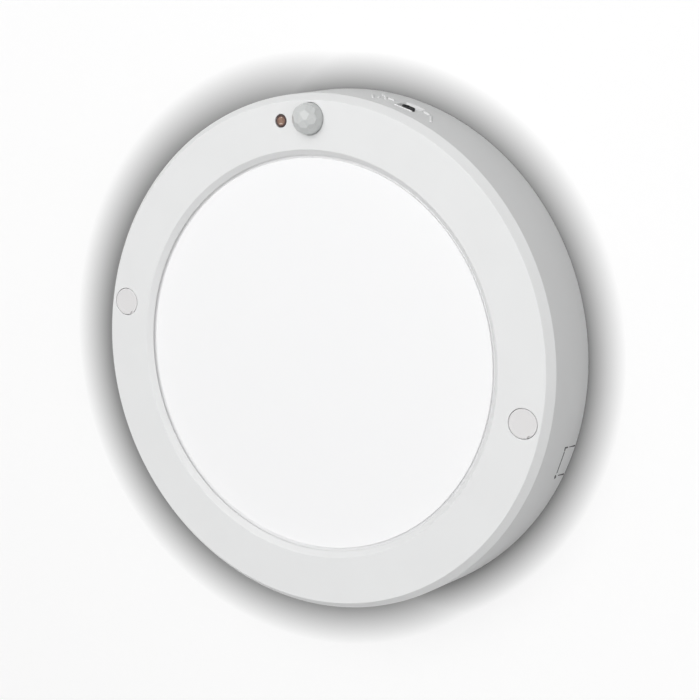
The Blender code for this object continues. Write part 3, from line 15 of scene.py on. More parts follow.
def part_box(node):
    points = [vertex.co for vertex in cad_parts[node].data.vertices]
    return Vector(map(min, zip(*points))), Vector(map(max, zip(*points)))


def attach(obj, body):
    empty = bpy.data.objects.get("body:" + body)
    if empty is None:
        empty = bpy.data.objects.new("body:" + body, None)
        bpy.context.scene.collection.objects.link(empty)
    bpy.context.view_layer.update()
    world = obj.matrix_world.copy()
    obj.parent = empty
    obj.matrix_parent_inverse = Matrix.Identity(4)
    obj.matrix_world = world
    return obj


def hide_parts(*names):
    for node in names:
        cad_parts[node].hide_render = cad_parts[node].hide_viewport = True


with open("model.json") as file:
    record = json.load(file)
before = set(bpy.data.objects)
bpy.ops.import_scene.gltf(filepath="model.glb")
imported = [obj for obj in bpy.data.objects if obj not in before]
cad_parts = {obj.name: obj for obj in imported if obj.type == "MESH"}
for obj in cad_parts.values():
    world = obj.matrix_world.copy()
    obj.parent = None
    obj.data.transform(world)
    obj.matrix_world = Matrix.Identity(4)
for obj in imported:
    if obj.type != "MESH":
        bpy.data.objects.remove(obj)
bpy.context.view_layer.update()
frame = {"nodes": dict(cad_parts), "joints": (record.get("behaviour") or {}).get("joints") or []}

MM = 0.001
TOUCH = 0.05 * MM
DIGITS = 5
STAND_UP = Matrix.Rotation(pi / 2, 4, "X")


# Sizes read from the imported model


def lamp_box(name):
    """Lowest and highest corner of a CAD node, in the lying light's directions."""
    low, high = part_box(name)
    return Vector((low.x, low.z, -high.y)), Vector((high.x, high.z, -low.y))


def middle(name):
    low, high = lamp_box(name)
    return (low + high) / 2


def section(name):
    """Corners (radius, height) of a turned node's wall, read where it crosses the line straight down."""
    corners = set()
    for vertex in frame["nodes"][name].data.vertices:
        x, y, z = vertex.co
        if abs(x) < TOUCH and z < 0:
            corners.add((round(-z, DIGITS), round(-y, DIGITS)))
    return sorted(corners)


def nodes_named(start):
    return sorted(name for name in frame["nodes"] if name.startswith(start))


LIP, OPENING, FACE_INSIDE, FACE_EDGE, SKIRT_INSIDE, SHOULDER, REAR_INSIDE, REAR = section("front_housing")
DEPTH = OPENING[1]
FACE_BACK = LIP[1]
SKIRT_SLOPE = atan2(REAR[0] - SHOULDER[0], SHOULDER[1])
LENS_LOW, LENS_HIGH = lamp_box("diffuser_lens")
PLUG_LOW, PLUG_HIGH = lamp_box("plug_right")
PLUG_RADIUS = (PLUG_HIGH.x - PLUG_LOW.x) / 2
DOME_LOW, DOME_HIGH = lamp_box("fresnel_dome")
CELL_LOW, CELL_HIGH = lamp_box("photocell")
CELL_RADIUS = (CELL_HIGH.x - CELL_LOW.x) / 2
GUIDE_LOW, GUIDE_HIGH = lamp_box("light_guide")
PAN_LOW, PAN_HIGH = lamp_box("light_pan")
COVER_LOW, COVER_HIGH = lamp_box("driver_cover")
DRIVER_LOW, DRIVER_HIGH = lamp_box("driver_board")
SENSORS_LOW, SENSORS_HIGH = lamp_box("sensor_board")
TERMINAL_LOW, TERMINAL_HIGH = lamp_box("terminal_block")

PLUGS = ("plug_right", "plug_left")
MOUNTING_SCREWS = ("mounting_screw_right", "mounting_screw_left")
PAN_SCREWS = nodes_named("pan_screw")
DRIVER_SCREWS = nodes_named("driver_screw")
SENSOR_SCREWS = nodes_named("sensor_screw")
TERMINAL_SCREWS = nodes_named("terminal_screw")

# Fits and roundings of mouldings
GAP = 0.3 * MM
OVERRUN = 1.0 * MM
LAP = 1.0 * MM
EDGE = 0.3 * MM
WELD_REACH = TOUCH / 10
ARC_STEPS = 5
# Corners of the housing's wall, each with its rounding
HOUSING_CORNERS = (
    (REAR, 0.35 * MM), (SHOULDER, 0.6 * MM), (FACE_EDGE, 0.5 * MM), (OPENING, 0.7 * MM),
    (LIP, 0.25 * MM), (FACE_INSIDE, 0.5 * MM), (SKIRT_INSIDE, 0.5 * MM), (REAR_INSIDE, 0.35 * MM),
)

# Lens
LENS_PLATEAU_INSET = 0.8 * MM
LENS_GROOVE_DEPTH = 0.9 * MM
LENS_ROUNDING = 0.35 * MM

# Plugs and the sleeves behind them
PLUG_HEAD = 1.9 * MM
PLUG_STEM_RADIUS = 5.3 * MM
PLUG_STEM_WALL = 1.0 * MM
PLUG_ROUNDING = 0.35 * MM
PLUG_GAP = 0.2 * MM
PLUG_DISH = 0.12 * MM
NOTCH_RADIUS = 0.9 * MM
NOTCH_ANGLE = radians(-60.0)
SLEEVE_WALL = 1.8 * MM
SLEEVE_END = 4.8 * MM
SLEEVE_FLOOR = 2.0 * MM
MOUNTING_HOLE_RADIUS = 2.3 * MM

# Sensor dome and photocell
DOME_NECK = 1.0 * MM
DOME_RADIUS = 6.5 * MM
DOME_REACH = DOME_HIGH.z - DEPTH - DOME_NECK
DOME_FLANGE = 0.8 * MM
DOME_GAP = 0.15 * MM
# Two neighbouring facets of the dome: angle to the right and angle up from straight ahead
DOME_FACETS = ((radians(15.3), radians(12.0)), (radians(47.0), radians(-2.0)))
# How far out a facet has to look
DOME_LEAST_RISE = 0.05
DOME_SMOOTH_ANGLE = radians(12.0)
CELL_BODY = 2.2 * MM
CELL_STEM_RADIUS = 1.2 * MM
CELL_RIM = 0.75 * MM
CELL_ROUNDING = 0.25 * MM
TRACK_WIDTH = 0.3 * MM
TRACK_HEIGHT = 0.08 * MM
# Turning points of the cell's zigzag and its contact pads, as shares of the radius inside the rim
TRACK_SHARES = (
    (-0.42, 0.62), (0.50, 0.62), (0.50, 0.36), (-0.60, 0.36), (-0.60, 0.10), (0.60, 0.10),
    (0.60, -0.16), (-0.56, -0.16), (-0.56, -0.42), (0.40, -0.42),
)
PAD_SHARES = (((-0.34, -0.70), (0.34, -0.62)), ((0.0, 0.82), (0.22, 0.80)))

# Slide switch, its pocket and the block behind it
SWITCH_TRAVEL = next(joint["range_m"][1] for joint in frame["joints"] if joint["name"] == "knob_slide")
KNOB_LENGTH = 2.8 * MM
KNOB_WIDTH = 2.2 * MM
KNOB_RECESS = 0.3 * MM
KNOB_RIDGES = 3
RIDGE_HEIGHT = 0.45 * MM
# Foot and crest of a ridge: half the width as a share of the pitch, and the inset at both ends
RIDGE_SHARES = ((1 / 3, 0.3 * MM), (1 / 6, 0.45 * MM))
POCKET_LENGTH = 9.6 * MM
POCKET_WIDTH = 11.0 * MM
POCKET_DEPTH = 2.6 * MM
POCKET_SLOPE_ALONG = 1.2 * MM
POCKET_SLOPE_ACROSS = 3.0 * MM
POCKET_FLOOR = 0.8 * MM
POCKET_SHIFT = 0.6 * MM
POCKET_CORNER = 0.8 * MM
# Depths at which its outline is drawn, as shares of its own; the first two lie outside the skin
POCKET_STEP_SHARES = (-0.5, -0.16, 0.0, 0.06, 0.9, 1.0)
POCKET_LIP_WIDTH = 0.7 * MM
POCKET_LIP_HEIGHT = 0.25 * MM
BLOCK_LENGTH = 24.0 * MM
BLOCK_WIDTH = 13.0 * MM
COLLAR_WALL = 0.25 * MM
COLLAR_BEVEL = COLLAR_WALL / 3
COLLAR_RECESS = 0.15 * MM

# Knock-out: dashes as shares of its width along the skirt and of its height, and of the usual dash width
KNOCKOUT_ANGLE = radians(-18.5)
KNOCKOUT_WIDTH = 13.5 * MM
KNOCKOUT_HEIGHT = 9.6 * MM
# Depth below the skin of the painted shade in the dashes, and thickness of its dark strips
KNOCKOUT_RECESS = 0.12 * MM
KNOCKOUT_LINE = 0.4 * MM
PERFORATION = 0.8 * MM
KNOCKOUT_SHARES = (
    ((-0.44, 1.02), (-0.53, 1.06), 1.2, 1.2),
    ((-0.53, 1.06), (-0.52, 0.82), 0.9, 0.9),
    ((-0.51, 0.66), (-0.48, 0.10), 0.35, 0.95),
    ((-0.36, 1.00), (-0.08, 0.98), 1.35, 1.5),
    ((-0.01, 0.98), (0.32, 0.93), 1.4, 1.2),
    ((0.44, 0.96), (0.50, 0.90), 1.6, 1.6),
    ((0.46, 0.66), (0.50, 0.12), 0.6, 0.95),
)

# Switch board, behind the skin: its posts, its screws and the lead that leaves it
SWITCH_POST_OFFSET = 8.6 * MM
SWITCH_POST_RADIUS = 2.3 * MM
SWITCH_POST_END = -7.1 * MM
SWITCH_BOARD_BACK = -8.8 * MM
SWITCH_CABLE_OFFSET = 2.3 * MM

# Screws: radius of the shank and height of the head, by kind, then the forms they share
MOUNTING_SCREW_SIZE = (2.0 * MM, 2.6 * MM)
PAN_SCREW_SIZE = (1.5 * MM, 1.8 * MM)
DRIVER_SCREW_SIZE = (1.3 * MM, 1.6 * MM)
BOARD_SCREW_SIZE = (1.0 * MM, 1.2 * MM)
EARTH_SCREW_SIZE = (1.6 * MM, 2.2 * MM)
SWITCH_SCREW_LENGTH = 4.5 * MM
SWITCH_HEAD_RADIUS = 1.9 * MM
SCREW_TIP_SHARE = 0.6
THREAD_PITCH = 0.8 * MM
THREAD_ROOT_SHARE = 0.84
HEAD_EDGE_SHARE = 0.3
HEAD_ARC = radians(68.0)
RECESS_SHARE = 0.5
RECESS_ARM_SHARE = 0.14
PAN_BOSS_RADIUS = 3.5 * MM
SMALL_BOSS_RADIUS = 2.3 * MM

# Pan: its sheet, its rim and the rings coined into its back
SHEET = 1.0 * MM
PAN_RIM = PAN_HIGH.x
PAN_EAR_HALF_WIDTH = 4.6 * MM
COINED_RINGS = (34.0 * MM, 78.0 * MM)
COINED_WIDTH = 3.0 * MM
COINED_DEPTH = 0.45 * MM
COINED_SHARES = ((-0.5, 0.0), (-0.25, 1.0), (0.25, 1.0), (0.5, 0.0))

# Bracket
BRACKET_SHEET = 1.5 * MM
BRACKET_WIDTH = 22.0 * MM
BRACKET_RISE = 3.0 * MM
BRACKET_RAMP = 6.0 * MM
BRACKET_END_LENGTH = 23.0 * MM
BRACKET_END_MARGIN = 7.5 * MM
BRACKET_CORNER = 3.0 * MM
BRACKET_SLOT_OFFSET = 37.0 * MM
BRACKET_SLOT_HALF = 4.2 * MM
BRACKET_SLOT_RADIUS = 2.8 * MM

# Driver cover: walls, ears, wire notches, sunk panel and vents
COVER_WALL = 1.2 * MM
COVER_ROUNDING = 1.5 * MM
COVER_CORNER = 2.5 * MM
COVER_EAR = 7.0 * MM
COVER_EAR_HALF_WIDTH = 4.5 * MM
COVER_EAR_THICKNESS = 1.5 * MM
BOARD_MARGIN = 1.0 * MM
NOTCH_HALF = 4.0 * MM
MAINS_NOTCH_INSET = 13.0 * MM
MAINS_NOTCH_X = COVER_HIGH.x - COVER_EAR - MAINS_NOTCH_INSET
PANEL_SHARES = (0.58, 0.66)
PANEL_DEPTH = 0.35 * MM
VENT_COUNT = 7
VENT_PLACE_SHARE = 0.79
VENT_SPREAD_SHARE = 0.66
VENT_HALF_LENGTH = 4.5 * MM
VENT_RADIUS = 0.8 * MM

# Terminal block
TERMINAL_FOOT_SHARE = 0.4
TERMINAL_BORE_HEIGHT = 5.0 * MM
TERMINAL_BORE_RADIUS = 2.0 * MM
TERMINAL_WELL_RADIUS = 2.2 * MM

# Wires
WIRE_SEGMENTS = 16
WIRE_RADIUS = 0.8 * MM
SENSOR_CABLE_RADIUS = 1.3 * MM
SWITCH_CABLE_RADIUS = 0.9 * MM
WIRE_END = 4.0 * MM
WIRE_LAY = 5.0 * MM
LED_WIRE_PITCH = 2.4 * MM
LED_WIRE_LOOP = 3.6 * MM
MAINS_WIRE_PITCH = 4.0 * MM
SWITCH_CABLE_SAG_SHARE = 0.25
SWITCH_CABLE_END_SHARE = 0.33
STRIPE_SHARE = 0.62
# The wires lie behind the driver's board; the LED wires pass the rim level with the cover's end notch
DRIVER_WIRE_HEIGHT = DRIVER_LOW.z - GAP - WIRE_RADIUS
LED_WIRE_Y = COVER_LOW.y + NOTCH_HALF + COVER_WALL + BOARD_MARGIN
LED_EXIT_ANGLE = pi - asin(LED_WIRE_Y / PAN_RIM)

# Small parts on the back of the sensor board and the switch board: middle on the board, half sizes and
# height, in mm
SENSOR_CONNECTORS = (((4.5, -2.1), (3.6, 2.2), 2.6), ((10.1, -2.1), (1.6, 2.2), 2.6))
SENSOR_CHIPS = (
    ((-8.5, 0.6), (3.2, 2.2), 1.3), ((-3.1, 2.6), (1.1, 0.7), 0.6), ((-3.1, 0.6), (1.1, 0.7), 0.6),
    ((-3.1, -1.6), (1.1, 0.7), 0.6), ((5.5, 2.4), (1.9, 1.2), 0.9), ((10.5, 2.6), (1.1, 0.7), 0.6),
    ((-14.1, 2.8), (1.3, 0.9), 0.9),
)
SWITCH_CONNECTORS = (((-2.3, 0.0), (2.6, 2.2), 2.4),)
SWITCH_CHIPS = (((3.4, 1.6), (1.1, 0.7), 0.6), ((3.4, -1.6), (1.1, 0.7), 0.6))
PART_BEVEL_SHARE = 0.2

# CAD nodes that stay and get rounded edges
SOFTENED = (
    "sensor_board", "switch_board", "switch_body", "driver_board", "driver_tray", "driver_chip",
    "filter_capacitor", "bridge_rectifier", "transformer_core", "transformer_coil", "bulk_capacitor",
    "output_capacitor", "varistor", "filter_choke", "fuse", "pir_sensor",
)

# Raised marks beside the switch: degrees round the skirt and depth below the face, start and end
MARK_WIDTH = 1.0 * MM
MARK_HEIGHT = 0.5 * MM
MARKS = (
    ((80.1, 17.6), (78.3, 11.8)),
    ((77.8, 15.2), (77.6, 14.2)),
    ((78.9, 22.0), (77.4, 19.4)),
    ((77.2, 19.0), (76.3, 15.4)),
    ((76.0, 17.3), (74.8, 17.4)),
    ((67.3, 18.1), (66.1, 17.9)),
    ((65.2, 16.8), (63.5, 11.2)),
)

# Facets of round shapes
RING_SEGMENTS = 288
HOLE_SEGMENTS = 72
POST_SEGMENTS = 32
SMOOTH_ANGLE = radians(32.0)

# Finishes: sizes of the noise and its detail, then how far tone and roughness wander
CLOUD_SIZE = 18.0 * MM
PLASTIC_GRAIN = 0.16 * MM
PLASTIC_RELIEF = 0.006 * MM
METAL_GRAIN = 0.25 * MM
METAL_RELIEF = 0.003 * MM
TONE_DETAIL = 3.0
GRAIN_DETAIL = 2.0
PLASTIC_SHADE_SHARE = 0.96
METAL_SHADE_SHARE = 0.82
PLASTIC_WANDER = (-0.06, 0.06)
METAL_WANDER = (-0.08, 0.1)
WHITE = (1.0, 1.0, 1.0, 1.0)
# Sockets of a mix node that mixes colours
MIX_FACTOR, MIX_FIRST, MIX_SECOND, MIX_RESULT = 0, 6, 7, 2

# Camera: turned and raised from straight ahead, with its place in shoulder radii from the face's middle
CAMERA_AZIMUTH = radians(30.07)
CAMERA_ELEVATION = radians(10.07)
CAMERA_ROLL = radians(0.924)
CAMERA_SHARES = (0.1612, 0.0294, 4.998)
CAMERA_LENS = 66.86

# Stage: a wall whose paint is greyer close round the light, a painted shadow, and a floor far below it
WALL_GAP = 0.3 * MM
WALL_REACH = 1.6
WALL_SEGMENTS = 192
# Middle, radius and width of the two rings of painted shadow over which the wall turns from grey to pale;
# the second lies down and to the left of the light
WALL_SHADOW_RINGS = (
    ((0.0, 0.0, 0.0), REAR[0], 15.5 * MM),
    ((-21.5 * MM, 0.0, -6.2 * MM), 114.5 * MM, 20.5 * MM),
)
# Wall paint inside the painted shadow and beyond it
WALL_SHADOW_AND_BARE_PAINT = (0.30, 0.40)
WALL_GLOW = 0.6
FLOOR_HEIGHT = -0.8
FLOOR_REACH = 4.0
FLOOR_PAINT = 0.62
FLOOR_GLOW = 0.7

# Studio light: its strength from the sides, what the front and back add, and two large lamps
STUDIO_SIDE = 0.05
STUDIO_FRONT = 1.08
LAMP_SIZE = 1.0
KEY_PLACE = (-0.1, -1.05, 0.62)
KEY_POWER = 4.9
FILL_PLACE = (0.75, -0.75, -0.2)
FILL_POWER = 1.9


# Outlines


def polar(radius, angle):
    return (radius * cos(angle), radius * sin(angle))


def ring_angles(count):
    return [2 * pi * step / count for step in range(count)]


def arc(end):
    """Angles that step through an arc, from nothing to its end."""
    return [end * step / ARC_STEPS for step in range(ARC_STEPS + 1)]


def rounded(points, radii):
    """A closed outline with an arc of the given radius in place of each corner."""
    outline = []
    for index, (point, radius) in enumerate(zip(points, radii)):
        corner = Vector(point)
        if not radius:
            outline.append(corner)
            continue
        before = (Vector(points[index - 1]) - corner).normalized()
        after = (Vector(points[(index + 1) % len(points)]) - corner).normalized()
        half = before.angle(after) / 2
        centre = corner + (before + after).normalized() * radius / sin(half)
        start = corner + before * radius / tan(half) - centre
        end = corner + after * radius / tan(half) - centre
        for step in range(ARC_STEPS + 1):
            arm = start.lerp(end, step / ARC_STEPS)
            outline.append(centre + arm.normalized() * radius)
    return outline


def rectangle(half_x, half_y, corner=0.0, centre=(0.0, 0.0)):
    x, y = centre
    points = [(x - half_x, y - half_y), (x + half_x, y - half_y)]
    points += [(x + half_x, y + half_y), (x - half_x, y + half_y)]
    return rounded(points, [corner] * 4)


def bar(start, end, start_radius, end_radius=None):
    """A slot or dash between two points, with round ends that may differ in size."""
    start, end = Vector(start), Vector(end)
    along = atan2(end.y - start.y, end.x - start.x)
    ends = ((end, along - pi / 2, end_radius or start_radius), (start, along + pi / 2, start_radius))
    outline = []
    for centre, first, radius in ends:
        for step in range(2 * ARC_STEPS + 1):
            outline.append(centre + Vector(polar(radius, first + pi * step / (2 * ARC_STEPS))))
    return outline


# Solids


def turned(bm, profile, segments, closed=False, centre=(0.0, 0.0)):
    """Spin (radius, height) points round an upright axis; an open profile ends on flat caps."""
    x, y = centre
    points = [bm.verts.new((x + radius, y, height)) for radius, height in profile]
    edges = [bm.edges.new(pair) for pair in zip(points, points[1:])]
    if closed:
        edges.append(bm.edges.new((points[-1], points[0])))
    spin = {"cent": (x, y, 0), "axis": (0, 0, 1), "angle": 2 * pi, "steps": segments}
    bmesh.ops.spin(bm, geom=points + edges, use_merge=True, **spin)
    if not closed:
        open_edges = [edge for edge in bm.edges if edge.is_boundary]
        bmesh.ops.holes_fill(bm, edges=open_edges, sides=segments)


def cylinder(bm, radius, low, high, centre=(0.0, 0.0), segments=POST_SEGMENTS):
    turned(bm, [(radius, low), (radius, high)], segments, centre=centre)


def skinned(bm, loops, hollow=False):
    """A skin through loops of vertices; a hollow one ends where it began, without caps."""
    pairs = list(zip(loops, loops[1:]))
    if hollow:
        pairs.append((loops[-1], loops[0]))
    for lower, upper in pairs:
        for index in range(len(lower)):
            after = (index + 1) % len(lower)
            bm.faces.new((lower[index], lower[after], upper[after], upper[index]))
    if not hollow:
        bm.faces.new(loops[0])
        bm.faces.new(loops[-1])


def lofted(bm, rings, matrix=Matrix.Identity(4), hollow=False):
    """A skin through rings of (outline, height)."""
    loops = []
    for outline, height in rings:
        loops.append([bm.verts.new(matrix @ Vector((x, y, height))) for x, y in outline])
    skinned(bm, loops, hollow)


def slab(bm, outline, low, high, matrix=Matrix.Identity(4)):
    lofted(bm, [(outline, low), (outline, high)], matrix)


def tube(bm, route, radius):
    """Round skin along a route, closed at both ends."""
    loops = []
    side = (route[1] - route[0]).orthogonal()
    for index, point in enumerate(route):
        ahead = route[min(index + 1, len(route) - 1)] - route[max(index - 1, 0)]
        ahead.normalize()
        side = (side - ahead * side.dot(ahead)).normalized()
        other = ahead.cross(side)
        ring = [polar(radius, angle) for angle in ring_angles(WIRE_SEGMENTS)]
        loops.append([bm.verts.new(point + side * x + other * y) for x, y in ring])
    skinned(bm, loops)


def shape(build, *sizes, **options):
    """A new shape made by one of the functions above."""
    bm = bmesh.new()
    build(bm, *sizes, **options)
    return bm


def loose_object(name, bm, closed=True):
    if closed:
        bmesh.ops.recalc_face_normals(bm, faces=bm.faces[:])
    mesh = bpy.data.meshes.new(name)
    bm.to_mesh(mesh)
    bm.free()
    made = bpy.data.objects.new(name, mesh)
    bpy.context.scene.collection.objects.link(made)
    return made


def carved(bm, *cuts, add=(), within=(), overlapping=False):
    """A closed shape with others cut from it or added to it, or kept only where it lies within others."""
    steps = [("UNION", other) for other in add]
    steps += [("INTERSECT", other) for other in within]
    steps += [("DIFFERENCE", other) for other in cuts]
    base = loose_object("base", bm)
    tools = []
    for operation, other in steps:
        tool = loose_object("tool", other)
        change = base.modifiers.new("change", "BOOLEAN")
        change.operation = operation
        change.object = tool
        change.solver = "EXACT"
        change.use_self = overlapping
        tools.append(tool)
    bpy.context.view_layer.update()
    graph = bpy.context.evaluated_depsgraph_get()
    mesh = bpy.data.meshes.new_from_object(base.evaluated_get(graph))
    result = bmesh.new()
    result.from_mesh(mesh)
    for item in (base, *tools):
        bpy.data.meshes.remove(item.data)
    bpy.data.meshes.remove(mesh)
    return result


def soften(item, width):
    """Round the edges of an object."""
    weld = item.modifiers.new("weld", "WELD")
    weld.merge_threshold = WELD_REACH
    bevel = item.modifiers.new("bevel", "BEVEL")
    bevel.width = width
    bevel.segments = 2
    bevel.limit_method = "ANGLE"
    bevel.angle_limit = SMOOTH_ANGLE


def piece(name, bm, finish_name, body="fixture", replaces=(), slot=None, smooth=SMOOTH_ANGLE, bevel=0.0):
    """Stand a finished shape up as a named object that rides on a body."""
    bm.transform(STAND_UP)
    made = loose_object(name, bm)
    made.data.materials.append(finish(finish_name))
    made.data.shade_smooth()
    made.data.set_sharp_from_angle(angle=smooth)
    if bevel:
        soften(made, bevel)
    normals = made.modifiers.new("normals", "WEIGHTED_NORMAL")
    normals.keep_sharp = True
    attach(made, body)
    slot or finish_name
    if replaces:
        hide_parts(*replaces)
    return made


# Materials


def feed(tree, socket, value):
    """Set an input to a value, or link it to another node's output."""
    if isinstance(value, bpy.types.NodeSocket):
        tree.links.new(value, socket)
    else:
        socket.default_value = value


def node(tree, kind, **inputs):
    """A shader node with inputs by name."""
    made = tree.nodes.new(kind)
    for key, value in inputs.items():
        feed(tree, made.inputs[key.replace("_", " ")], value)
    return made


def joined(tree, kind, *values):
    """First output of a shader node whose inputs are given in their order."""
    made = tree.nodes.new(kind)
    for socket, value in zip(made.inputs, values):
        feed(tree, socket, value)
    return made.outputs[0]


def maths(tree, operation, *values):
    result = joined(tree, "ShaderNodeMath", *values)
    result.node.operation = operation
    return result


def noise(tree, place, size, detail):
    return node(tree, "ShaderNodeTexNoise", Vector=place, Scale=1 / size, Detail=detail).outputs[0]


def mixed_colour(tree, factor, first, second):
    mix = tree.nodes.new("ShaderNodeMix")
    mix.data_type = "RGBA"
    feed(tree, mix.inputs[MIX_FACTOR], factor)
    feed(tree, mix.inputs[MIX_FIRST], (*first, 1.0))
    feed(tree, mix.inputs[MIX_SECOND], (*second, 1.0))
    return mix.outputs[MIX_RESULT]


def new_material(name):
    made = bpy.data.materials.new(f"{name}_finish")
    made.use_nodes = True
    place = node(made.node_tree, "ShaderNodeTexCoord").outputs["Object"]
    return made, made.node_tree, place


def textured(tree, tone, grain, relief, colour, shade_share, roughness, wander):
    """Let one noise set colour and roughness, and another the fine relief."""
    shader = tree.nodes["Principled BSDF"]
    darker = [shade_share * part for part in colour]
    low, high = [roughness + step for step in wander]
    rough = node(tree, "ShaderNodeMapRange", Value=tone, To_Min=low, To_Max=high)
    bump = node(tree, "ShaderNodeBump", Height=grain, Distance=relief, Strength=1.0)
    feed(tree, shader.inputs["Base Color"], mixed_colour(tree, tone, darker, colour))
    feed(tree, shader.inputs["Roughness"], rough.outputs[0])
    feed(tree, shader.inputs["Normal"], bump.outputs[0])
    return shader


def moulded(name, colour, roughness, shade=PLASTIC_SHADE_SHARE, grain=PLASTIC_GRAIN, relief=PLASTIC_RELIEF,
            glow=0.0):
    """Moulded plastic: a faint cloudiness, a fine spark-eroded grain and roughness that wanders."""
    made, tree, place = new_material(name)
    tone = noise(tree, place, CLOUD_SIZE, TONE_DETAIL)
    fine = noise(tree, place, grain, GRAIN_DETAIL)
    shader = textured(tree, tone, fine, relief, colour, shade, roughness, PLASTIC_WANDER)
    # A glow is painted light: the part shines faintly of itself
    shader.inputs["Emission Color"].default_value = WHITE
    shader.inputs["Emission Strength"].default_value = glow
    return made


def metal(name, colour, roughness, stretch):
    """Sheet or turned metal with a grain that may be drawn out in one direction."""
    made, tree, place = new_material(name)
    drawn = node(tree, "ShaderNodeMapping", Vector=place, Scale=stretch).outputs[0]
    fine = noise(tree, drawn, METAL_GRAIN, TONE_DETAIL)
    shader = textured(tree, fine, fine, METAL_RELIEF, colour, METAL_SHADE_SHARE, roughness, METAL_WANDER)
    shader.inputs["Metallic"].default_value = 1.0
    return made


# Colour and roughness of plastics; some have a shade, grain, relief and glow of their own, where the opal's
# faint glow is painted light that brightens the lens
MOULDED = {
    # Opal lens, with a faint painted glow
    "opal_plastic": ((0.90, 0.90, 0.905), 0.45, 0.995, 0.3 * MM, 0.002 * MM, 0.055),
    "dome_plastic": ((0.62, 0.635, 0.63), 0.28, 0.97, 0.2 * MM, 0.002 * MM),
    "white_plastic": ((0.83, 0.835, 0.835), 0.46),
    "plug_plastic": ((0.775, 0.765, 0.765), 0.5),
    "reflector_film": ((0.93, 0.93, 0.92), 0.55),
    "clear_acrylic": ((0.86, 0.90, 0.91), 0.2),
    "board_green": ((0.05, 0.22, 0.11), 0.38),
    "strip_white": ((0.88, 0.87, 0.80), 0.5),
    "black_plastic": ((0.022, 0.022, 0.024), 0.42),
    # Dark grey laid in the knock-out's dashes as painted shade
    "thin_web": ((0.11, 0.11, 0.112), 0.6),
    "grey_plastic": ((0.45, 0.46, 0.47), 0.5),
    "hood_plastic": ((0.74, 0.745, 0.74), 0.5),
    "terminal_plastic": ((0.70, 0.69, 0.64), 0.4),
    "fuse_glass": ((0.72, 0.78, 0.78), 0.15),
    "varistor_blue": ((0.08, 0.22, 0.50), 0.42),
    "film_yellow": ((0.78, 0.62, 0.16), 0.4),
    "ferrite": ((0.09, 0.09, 0.10), 0.62),
    "photocell_copper": ((0.30, 0.17, 0.12), 0.35),
    "cell_coating": ((0.085, 0.045, 0.04), 0.3),
    "cell_track": ((0.36, 0.22, 0.16), 0.4),
    "cell_pads": ((0.72, 0.62, 0.54), 0.35),
    "live_brown": ((0.22, 0.10, 0.045), 0.45),
    "neutral_blue": ((0.05, 0.18, 0.50), 0.45),
    "earth_green": ((0.14, 0.42, 0.08), 0.45),
    "earth_yellow": ((0.72, 0.60, 0.05), 0.45),
    "wire_red": ((0.58, 0.04, 0.03), 0.45),
    "wire_black": ((0.02, 0.02, 0.02), 0.45),
    "wire_grey": ((0.55, 0.55, 0.56), 0.5),
}
# Colour and roughness of metals, and how their grain is drawn out
METALS = {
    "aluminium_sheet": ((0.62, 0.63, 0.65), 0.38, (1.0, 1.0, 0.06)),
    "zinc_steel": ((0.50, 0.51, 0.53), 0.36, (1.0, 1.0, 1.0)),
    "brass": ((0.72, 0.56, 0.28), 0.3, (1.0, 1.0, 1.0)),
}
finishes = {}


def finish(name):
    """The finish of a material slot, made the first time it is asked for."""
    if name not in finishes:
        make, looks = (metal, METALS) if name in METALS else (moulded, MOULDED)
        finishes[name] = make(name, *looks[name])
    return finishes[name]


# Places on the skirt


def skirt_radius(height):
    return REAR[0] - height * tan(SKIRT_SLOPE)


def skirt_frame(angle, height):
    """Matrix at a point of the skirt: X runs clockwise along it, Y to the wall, Z out of the skin."""
    out = Vector((*polar(cos(SKIRT_SLOPE), angle), sin(SKIRT_SLOPE)))
    along = Vector((sin(angle), -cos(angle), 0))
    turn = Matrix((along, out.cross(along), out)).transposed().to_4x4()
    place = Vector((*polar(skirt_radius(height), angle), height))
    return Matrix.Translation(place) @ turn


def frame_in_front_of(node_name):
    """The skirt's frame straight outside a node that stands behind the skin."""
    point = middle(node_name)
    gap = (skirt_radius(point.z) - hypot(point.x, point.y)) * cos(SKIRT_SLOPE)
    return skirt_frame(atan2(point.y, point.x), point.z + gap * sin(SKIRT_SLOPE))


SWITCH = frame_in_front_of("switch_body")
KNOCKOUT = skirt_frame(KNOCKOUT_ANGLE, 0.0)


# Housing


def housing_shell():
    return shape(turned, rounded(*zip(*HOUSING_CORNERS)), RING_SEGMENTS, closed=True)


def hole_profile(radius, low, top):
    """Side of a round hole that ends in a small rounding at the surface."""
    profile = [(radius, low)]
    for turn in arc(pi / 2):
        profile.append((radius + EDGE * (1 - cos(turn)), top - EDGE * (1 - sin(turn))))
    return [*profile, (radius + EDGE, top + OVERRUN)]


def housing_posts():
    """Screw sleeves and bosses that grow from the back of the face."""
    top = FACE_BACK + LAP
    radius = PLUG_STEM_RADIUS + GAP + SLEEVE_WALL
    sleeve = [(radius - EDGE, SLEEVE_END), (radius, SLEEVE_END + EDGE), (radius, top)]
    bm = bmesh.new()
    for name in PLUGS:
        turned(bm, sleeve, HOLE_SEGMENTS, centre=middle(name).xy)
    for name in PAN_SCREWS:
        cylinder(bm, PAN_BOSS_RADIUS, PAN_LOW.z + LAP + GAP, top, middle(name).xy)
    for name in SENSOR_SCREWS:
        cylinder(bm, SMALL_BOSS_RADIUS, SENSORS_HIGH.z + GAP, top, middle(name).xy)
    return bm


def switch_posts():
    """Two posts that carry the switch board."""
    bm = bmesh.new()
    for side in (-1, 1):
        cylinder(bm, SWITCH_POST_RADIUS, SWITCH_POST_END, -POCKET_DEPTH, (side * SWITCH_POST_OFFSET, 0))
    bm.transform(SWITCH)
    return bm


def switch_block():
    """Block of plastic behind the skin that takes the pocket."""
    root = SKIRT_INSIDE[0] - SHOULDER[0] + LAP
    outline = rectangle(BLOCK_LENGTH / 2, BLOCK_WIDTH / 2, EDGE)
    return shape(slab, outline, -POCKET_DEPTH - POCKET_FLOOR, root, SWITCH)


